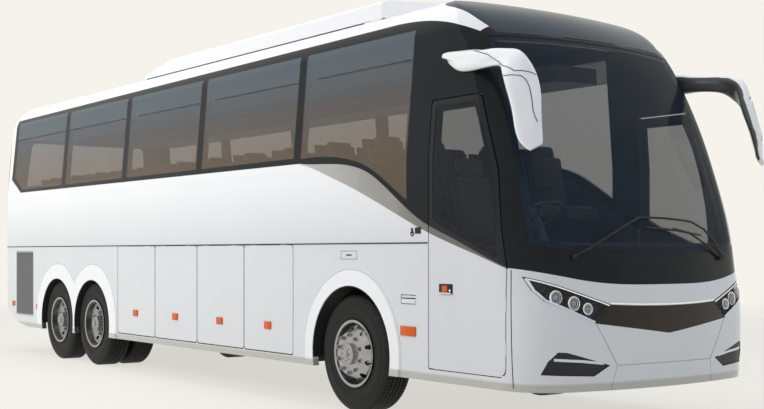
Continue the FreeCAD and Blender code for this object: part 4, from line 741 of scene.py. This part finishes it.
def standing(x, y, z, place, lean=0.0):
    forward, up, height = place
    return (Matrix.Translation((x + forward + backSlope * up, y, z + height))
            @ Matrix.Rotation(math.radians(lean), 4, "Y"))


def addSeat(pads, frames, kind, ready, x, y, z):  # a seat's three pads and the shell behind its back
    for part, source in ready.items():
        count = len(pads.verts)
        pads.from_mesh(source)
        pads.verts.ensure_lookup_table()
        place = standing(x, y, z, kind[part][2], 0.0 if part == "pan" else seats["lean"])
        bmesh.ops.transform(pads, matrix=place, verts=pads.verts[count:])
    half, bevel, place = kind["shell"]
    shell = addBox(frames, [-v for v in half], half, bevel)
    bmesh.ops.transform(frames, matrix=standing(x, y, z, place, seats["lean"]), verts=shell)


def addBar(mesh, x, y, z, bar):
    x0, x1, half, z0, z1, *rounding = bar
    addBox(mesh, (x + x0, y - half, z + z0), (x + x1, y + half, z + z1), *rounding)


ready = readyPads(seats)
pads, frames = bmesh.new(), bmesh.new()
deck, middle = seats["deck"], seats["middle"]
for row in range(seats["rows"]):
    x = seats["first"] - row * seats["pitch"]
    for side in (-1.0, 1.0):
        for place in (middle - seats["apart"], middle + seats["apart"]):
            addSeat(pads, frames, seats, ready, x, side * place, deck)
        for place in (middle - seats["legs"], middle + seats["legs"]):
            for bar in ("leg", "foot"):
                addBar(frames, x, side * place, deck, seats[bar])
        forward, half, up, radius = seats["rail"]
        rail = [(x + forward, side * (middle + end), deck + up) for end in (-half, half)]
        addTube(frames, *rail, radius)
        for place in seats["arms"]:
            addBar(frames, x, side * (middle + place), deck, seats["arm"])
        grip = standing(x, side * (middle - seats["gripIn"]), deck, seats["grip"]).translation
        addRing(frames, grip, (0.0, 1.0, 0.0), seats["gripRadius"], seats["gripThick"], 20, 8)
padPiece = newPiece("seatPads", pads, "root", "seat_fabric", angle=60.0)
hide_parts("passenger_seats")
newPiece("seatFrames", frames, "root", "cab_plastic")
print("passenger seats made:", len(padPiece.data.polygons), "faces")

pads, frames = bmesh.new(), bmesh.new()
x, y, z = driver["x"], driver["y"], driver["floor"]
addSeat(pads, frames, driver, readyPads(driver), x, y, z)
addBar(frames, x, y, z, driver["plinth"])
for i in range(driver["folds"]):
    addBar(frames, x, y, z + driver["foldStart"] + driver["foldPitch"] * i, driver["fold"])
addBar(frames, x, y, z, driver["tray"])
for start, end, radius in driver["armrest"]:
    addTube(frames, Vector((x, y, z)) + Vector(start), Vector((x, y, z)) + Vector(end), radius)
driverPiece = newPiece("driverPads", pads, "root", "seat_fabric", angle=60.0)
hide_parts("driver_seat")
newPiece("driverSeatBase", frames, "root", "cab_plastic")
print("driver's seat made")


# Mirrors

mirrorSeams = (
    ((4.914, 1.248, 2.999), (5.118, 1.287, 2.942), (5.226, 1.298, 2.883), (5.403, 1.379, 2.811), (5.512, 1.369, 2.762),
     (5.545, 1.334, 2.763), (5.585, 1.279, 2.752), (5.610, 1.235, 2.735)),
    ((5.430, 1.415, 2.735), (5.473, 1.415, 2.728), (5.554, 1.342, 2.724), (5.581, 1.317, 2.696), (5.606, 1.304, 2.639),
     (5.635, 1.308, 2.551), (5.659, 1.318, 2.462), (5.675, 1.313, 2.413), (5.686, 1.299, 2.374)))
mirrorSkin = skinOf(["mirrors"])[0]
for sideName, side in sides:
    mesh = bmesh.new()
    for route in mirrorSeams:
        seamLine(mesh, mirrorSkin, [(x, side * y, z) for x, y, z in route], 0.006)
    newPiece("mirrorSeams_%s" % sideName, mesh, "root", "trim_black", "seam_dark")
print("mirror seams laid")


# Rear end and roof

rearPlan = {
    "slats": 9, "slatLow": 1.240, "slatPitch": 0.046, "slatHalf": 0.66, "slotHeight": 0.026,
    "slatHeight": 0.016, "slatThick": 0.0050, "slatRise": 0.018, "frameLow": 0.03, "frameOut": 0.02,
    "plateZ": 0.965, "plateHalf": 0.27, "plateHigh": 0.062, "surroundOut": 0.03, "surroundUp": 0.05,
    "lampY": 0.16, "lampUp": 0.105, "handleZ": 0.868,
    "brakeZ": 3.165, "brakeHalf": 0.26, "lampIn": 0.94, "lampOut": 1.10, "reflectorZ": 0.880, "fogZ": 0.960}
lidSkin = skinOf(["engine_lid"])
rearSkin = skinOf(["rear_wall", "engine_lid", "side_wall_right", "side_wall_left", "rear_lamps"])


def rearRibbon(name, low, high, z, width, thick, body, slot, finish=None, trees=rearSkin, proud=seam["proud"]):
    mesh = bmesh.new()
    ribbon(mesh, [(low, z), (high, z)], width, trees, "rear", 0.04, thick, proud)
    newPiece(name, mesh, body, slot, finish)


louvres, slots = bmesh.new(), bmesh.new()
half, slatHeight, slatThick = rearPlan["slatHalf"], rearPlan["slatHeight"], rearPlan["slatThick"]


def addSlat(route):
    ribbon(louvres, route, slatHeight, lidSkin, "rear", 0.08, slatThick, 0.0020)


for i in range(rearPlan["slats"]):
    z = rearPlan["slatLow"] + rearPlan["slatPitch"] * i
    ribbon(slots, [(-half, z), (half, z)], rearPlan["slotHeight"], lidSkin, "rear", 0.08, 0.0006, 0.0005)
    addSlat([(-half, z + rearPlan["slatRise"]), (half, z + rearPlan["slatRise"])])
out, low = half + rearPlan["frameOut"], rearPlan["slatLow"] - rearPlan["frameLow"]
top = rearPlan["slatLow"] + rearPlan["slatPitch"] * rearPlan["slats"]
for z in (low, top):
    addSlat([(-out, z), (out, z)])
for y in (-out, out):
    addSlat([(y, low), (y, top)])
newPiece("lidSlots", slots, "engine_lid", "trim_black", "seam_dark")
newPiece("lidLouvres", louvres, "engine_lid", "body_white")
plateZ, plateHalf, plateHigh = rearPlan["plateZ"], rearPlan["plateHalf"], 2 * rearPlan["plateHigh"]
edge = plateHalf + rearPlan["surroundOut"]
rearRibbon("plateSurround", -edge, edge, plateZ, plateHigh + rearPlan["surroundUp"], 0.002, "engine_lid",
           "trim_black", trees=lidSkin)
rearRibbon("plateBlank", -plateHalf, plateHalf, plateZ, plateHigh, 0.002, "engine_lid", "body_white", "label_white",
           lidSkin, 0.0035)
lamps, handle = bmesh.new(), bmesh.new()
for y in (-rearPlan["lampY"], rearPlan["lampY"]):
    place = skinPoint(lidSkin, "rear", y, plateZ + rearPlan["lampUp"])
    addTube(lamps, place, place + Vector((-0.012, 0.0, 0.0)), 0.020)
newPiece("plateLamps", lamps, "engine_lid", "lamp_chrome", "lamp_strip")
place = skinPoint(lidSkin, "rear", 0.0, rearPlan["handleZ"])
addBox(handle, place + Vector((-0.010, -0.07, -0.014)), place + Vector((0.004, 0.07, 0.014)), 0.004, 3)
newPiece("lidHandle", handle, "engine_lid", "trim_black")
rearRibbon("brakeLampHigh", -rearPlan["brakeHalf"], rearPlan["brakeHalf"], rearPlan["brakeZ"], 0.024, 0.003, "root",
           "lamp_red")
for sideName, side in sides:
    low, high = side * rearPlan["lampIn"], side * rearPlan["lampOut"]
    rearRibbon("rearReflector_%s" % sideName, low, high, rearPlan["reflectorZ"], 0.040, 0.003, "root", "lamp_red")
    rearRibbon("rearFog_%s" % sideName, low, high, rearPlan["fogZ"], 0.044, 0.003, "root", "lamp_chrome",
               "lamp_strip")

roofPlan = {
    "hatches": (-4.75, -2.95), "rimHalf": 0.36, "lidHalf": 0.30, "podFrom": -1.70, "podTo": 3.15,
    "podHalf": 0.900, "podSteps": 39}
roofTree, podTree = skinOf(["roof"]), skinOf(["roof_pod"])
hatches, lids, podFootShadow = bmesh.new(), bmesh.new(), bmesh.new()
for x in roofPlan["hatches"]:
    z, rim, lid = skinPoint(roofTree, "roof", x, 0.0).z, roofPlan["rimHalf"], roofPlan["lidHalf"]
    addBox(hatches, (x - rim, -rim, z - 0.02), (x + rim, rim, z + 0.022), 0.012, 3)
    addBox(lids, (x - lid, -lid, z + 0.015), (x + lid, lid, z + 0.050), 0.022, 4)
newPiece("roofHatchRims", hatches, "root", "trim_black")
newPiece("roofHatchLids", lids, "root", "body_white", "label_white")
for sideName, side in sides:
    # painted shadow: a dark strip along each foot of the roof pod, where it meets the roof
    route = []
    for i in range(roofPlan["podSteps"] + 1):
        x = roofPlan["podFrom"] + (roofPlan["podTo"] - roofPlan["podFrom"]) * i / roofPlan["podSteps"]
        route.append((x, skinPoint(roofTree, "roof", x, side * (roofPlan["podHalf"] + 0.004)).z + 0.010))
    ribbon(podFootShadow, route, 0.014, podTree, sideName, 0.2)
newPiece("podFootShadow", podFootShadow, "root", "trim_black", "seam_dark")
print("rear end and roof dressed")


# Doors and the wall round them

doorSpots = {"handle": (1.347, 1.13), "grip": (0.850, 1.032), "latch": (0.955, 1.612), "flap": (-0.026, 1.399)}
doorTrim = {  # its spot, slot and finish, where it starts and ends, its bevel, and its boxes from the spot
    "doorTab": ("handle", "lamp_red", "marker", (0.004, 0.011), (0.003, 2), ((-0.040, -0.026, 0.026, 0.026),)),
    "doorBezel": ("handle", "trim_black", None, (-0.002, 0.006), (0.003, 2), ((-0.085, -0.040, 0.085, 0.040),)),
    "doorPull": ("handle", "trim_black", "chrome", (0.004, 0.024), (0.004, 3), ((-0.078, -0.038, 0.078, -0.028),)),
    "wallGrip": ("grip", "body_white", "label_white", (-0.002, 0.006), (0.004, 3),
                 ((-0.092, -0.034, 0.100, -0.002),)),
    "wallGripSeam": ("grip", "trim_black", "seam_dark", (-0.003, 0.0014), (0.0005, 1),
                     ((-0.100, 0.033, 0.100, 0.039), (-0.102, -0.038, -0.096, 0.038), (-0.088, 0.004, 0.100, 0.013),
                      (-0.100, -0.041, 0.100, -0.037))),
    "wallLatch": ("latch", "trim_black", None, (-0.002, 0.010), (0.004, 3), ((-0.008, -0.034, 0.062, 0.018),)),
    "fillerFlap": ("flap", "trim_black", "seam_dark", (-0.003, 0.0012), (0.0005, 1),
                   ((-0.126, 0.034, 0.126, 0.038), (-0.126, -0.038, 0.126, -0.034), (-0.126, -0.036, -0.122, 0.036),
                    (0.122, -0.036, 0.126, 0.036), (-0.045, -0.006, 0.045, 0.006)))}
doorPins = {  # how far forward, its ends out and up, radius and sides
    "doorPull": (0.062, ((0.004, -0.012), (0.013, -0.012)), 0.011, 20),
    "wallLatch": (-0.052, ((-0.002, -0.030), (0.008, 0.012)), 0.008, 12)}
latchLoop = (-0.052, 0.003, -0.034, 0.018, 0.004)
for sideName, side in sides:
    for name, (spot, slot, finish, depths, rounding, boxes) in doorTrim.items():
        x, z = bus["frontAxle"] + doorSpots[spot][0], doorSpots[spot][1]
        y = side * bus["halfWidth"]
        mesh = bmesh.new()
        for x0, z0, x1, z1 in boxes:
            addSideBox(mesh, side, (x + x0, z + z0, x + x1, z + z1), depths, *rounding)
        if name in doorPins:
            forward, ends, radius, corners = doorPins[name]
            addTube(mesh, *[(x + forward, y + side * out, z + up) for out, up in ends], radius, corners)
        if name == "wallLatch":
            forward, out, up, radius, thick = latchLoop
            addRing(mesh, (x + forward, y + side * out, z + up), (0.0, 1.0, 0.0), radius, thick, 24, 8)
        onDoor = spot == "handle" and sideName == "right"
        newPiece("%s_%s" % (name, sideName), mesh, "driver_door" if onDoor else "root", slot, finish)
print("door trim done")


# Side trim

sideTrim = {
    "proud": 0.012, "beltFrom": -5.60, "beltTo": 4.358, "beltZ": (1.4955, 1.506), "beltDepths": (-0.002, 0.0064),
    "flapMarkers": (-4.465, -3.4335, -2.41, -1.4285), "markerZ": 0.708, "markerSize": (0.124, 0.074),
    "wallMarkers": ((0.850, 0.767, 0.205, 0.080), (-8.582, 0.688, 0.09, 0.07), (-7.628, 0.671, 0.09, 0.07)),
    "panes": ((-8.59, -6.80), (-6.67, -4.885), (-4.76, -2.97), (-2.845, -0.975), (-0.85, 0.80))}
sideGlass = skinOf(["side_glass"])


def addMarker(mesh, side, x, z, length, height):  # its x counts from the front axle, as the panes' do
    x += bus["frontAxle"]
    corners = (x - length / 2, z - height / 2, x + length / 2, z + height / 2)
    addSideBox(mesh, side, corners, (-0.001, sideTrim["proud"]))


for sideName, side in sides:
    for i, x in enumerate(sideTrim["flapMarkers"]):
        mesh = bmesh.new()
        addMarker(mesh, side, x, sideTrim["markerZ"], *sideTrim["markerSize"])
        numbered = (sideName, i + 1)
        newPiece("sideMarker_%s_%d" % numbered, mesh, "luggage_flap_%s_%d" % numbered, "lamp_red", "marker")
    onWall, belt, lines = bmesh.new(), bmesh.new(), bmesh.new()
    for marker in sideTrim["wallMarkers"]:
        addMarker(onWall, side, *marker)
    newPiece("wallMarkers_%s" % sideName, onWall, "root", "lamp_red", "marker")
    # painted shadow: a thin black strip along the belt line stands for the shade in its groove
    low, high = sideTrim["beltZ"]
    addSideBox(belt, side, (sideTrim["beltFrom"], low, sideTrim["beltTo"], high), sideTrim["beltDepths"], 0.002)
    newPiece("beltGrooveShadow_%s" % sideName, belt, "root", "trim_black")
    for ends in sideTrim["panes"]:
        route = [(bus["frontAxle"] + x, sideTint["lineZ"]) for x in ends]
        ribbon(lines, route, sideTint["lineHeight"], sideGlass, sideName, 0.2, 0.002, 0.001)
    newPiece("paneLines_%s" % sideName, lines, "root", "trim_black")
print("side trim done")


# Camera, floor and light

view = {"place": (12.359, -7.548, 1.426), "turn": 54.0, "lens": 58.63, "sensor": 36.0, "shiftY": 0.0622, "far": 200.0}
paper = {
    "colour": (0.913, 0.896, 0.838), "floor": (0.80, 0.785, 0.735), "sky": (0.86, 0.91, 1.0), "skyStrength": 0.52,
    "size": 90.0, "clear": 11.0, "gone": 24.0, "glow": 0.72}
lights = {  # place, target, size, power and colour
    "sideKey": ((-5.0, -14.0, 9.5), (-1.0, 0.0, 1.8), (16.0, 6.0), 1350.0, (1.0, 0.99, 0.97)),
    "topKey": ((0.0, 0.0, 14.0), (0.0, 0.0, 3.0), (18.0, 10.0), 1000.0, (1.0, 1.0, 1.0)),
    "frontFill": ((17.0, 4.0, 7.0), (4.0, 0.0, 1.6), (8.0, 6.0), 120.0, (0.84, 0.90, 1.0))}
eye = bpy.data.cameras.new("view")
eye.lens, eye.sensor_width = view["lens"], view["sensor"]
eye.shift_y, eye.clip_end = view["shiftY"], view["far"]
camera = addObject("view", eye)
camera.location = view["place"]
camera.rotation_euler = (math.radians(90.0), 0.0, math.radians(view["turn"]))
bpy.context.scene.camera = camera

mesh = bmesh.new()
bmesh.ops.create_grid(mesh, x_segments=1, y_segments=1, size=paper["size"])
floor = addObject("studioFloor", readyMesh("studioFloor", mesh))
# The floor fades out with distance; to the eye and in glass it glows with the paper's own colour
darker = tuple(c * 0.985 for c in paper["floor"])
floorPaper = surface("floorPaper", darker, paper["floor"], 0.6, (0.9, 0.95), specular=0.1)
tree = floorPaper.node_tree
shader = tree.nodes["Principled BSDF"]
reach = addNode(tree, "VectorMath", {0: objectPlace(tree)}, "LENGTH").outputs["Value"]
present = fade(tree, reach, paper["gone"], paper["clear"])
fill(tree, shader, {"Alpha": present})
glow = addNode(tree, "Emission", {"Color": paper["colour"]})
clear = addNode(tree, "BsdfTransparent")
glow = addNode(tree, "MixShader", {0: present, 1: clear.outputs[0], 2: glow.outputs[0]})
rays = addNode(tree, "LightPath").outputs
seen = mathNode(tree, "MAXIMUM", rays["Is Camera Ray"], rays["Is Transmission Ray"])
seen = mathNode(tree, "MAXIMUM", product(tree, seen, paper["glow"]), rays["Is Glossy Ray"])
blend = addNode(tree, "MixShader", {0: seen, 1: shader.outputs[0], 2: glow.outputs[0]})
fill(tree, tree.nodes["Material Output"], {"Surface": blend.outputs[0]})
floor.data.materials.append(floorPaper)

world = bpy.data.worlds.new("paper")
world.use_nodes = True
tree = world.node_tree
back = tree.nodes["Background"]
fill(tree, back, {"Color": paper["colour"]})
sky = addNode(tree, "Background", {"Color": paper["sky"], "Strength": paper["skyStrength"]})
rays = addNode(tree, "LightPath").outputs
seen = mathNode(tree, "MAXIMUM", rays["Is Camera Ray"], rays["Is Glossy Ray"])
seen = mathNode(tree, "MAXIMUM", seen, rays["Is Transmission Ray"])
blend = addNode(tree, "MixShader", {0: seen, 1: sky.outputs[0], 2: back.outputs[0]})
fill(tree, tree.nodes["World Output"], {"Surface": blend.outputs[0]})
bpy.context.scene.world = world

for name, (place, target, size, power, colour) in lights.items():
    lamp = bpy.data.lights.new(name, "AREA")
    lamp.shape = "RECTANGLE"
    lamp.size, lamp.size_y = size
    lamp.energy, lamp.color = power, colour
    light = addObject(name, lamp)
    light.location = place
    light.rotation_euler = (Vector(target) - Vector(place)).to_track_quat("-Z", "Y").to_euler()
    light.visible_glossy = False
scene = bpy.context.scene
scene.view_settings.view_transform = "Standard"
scene.view_settings.look = "None"
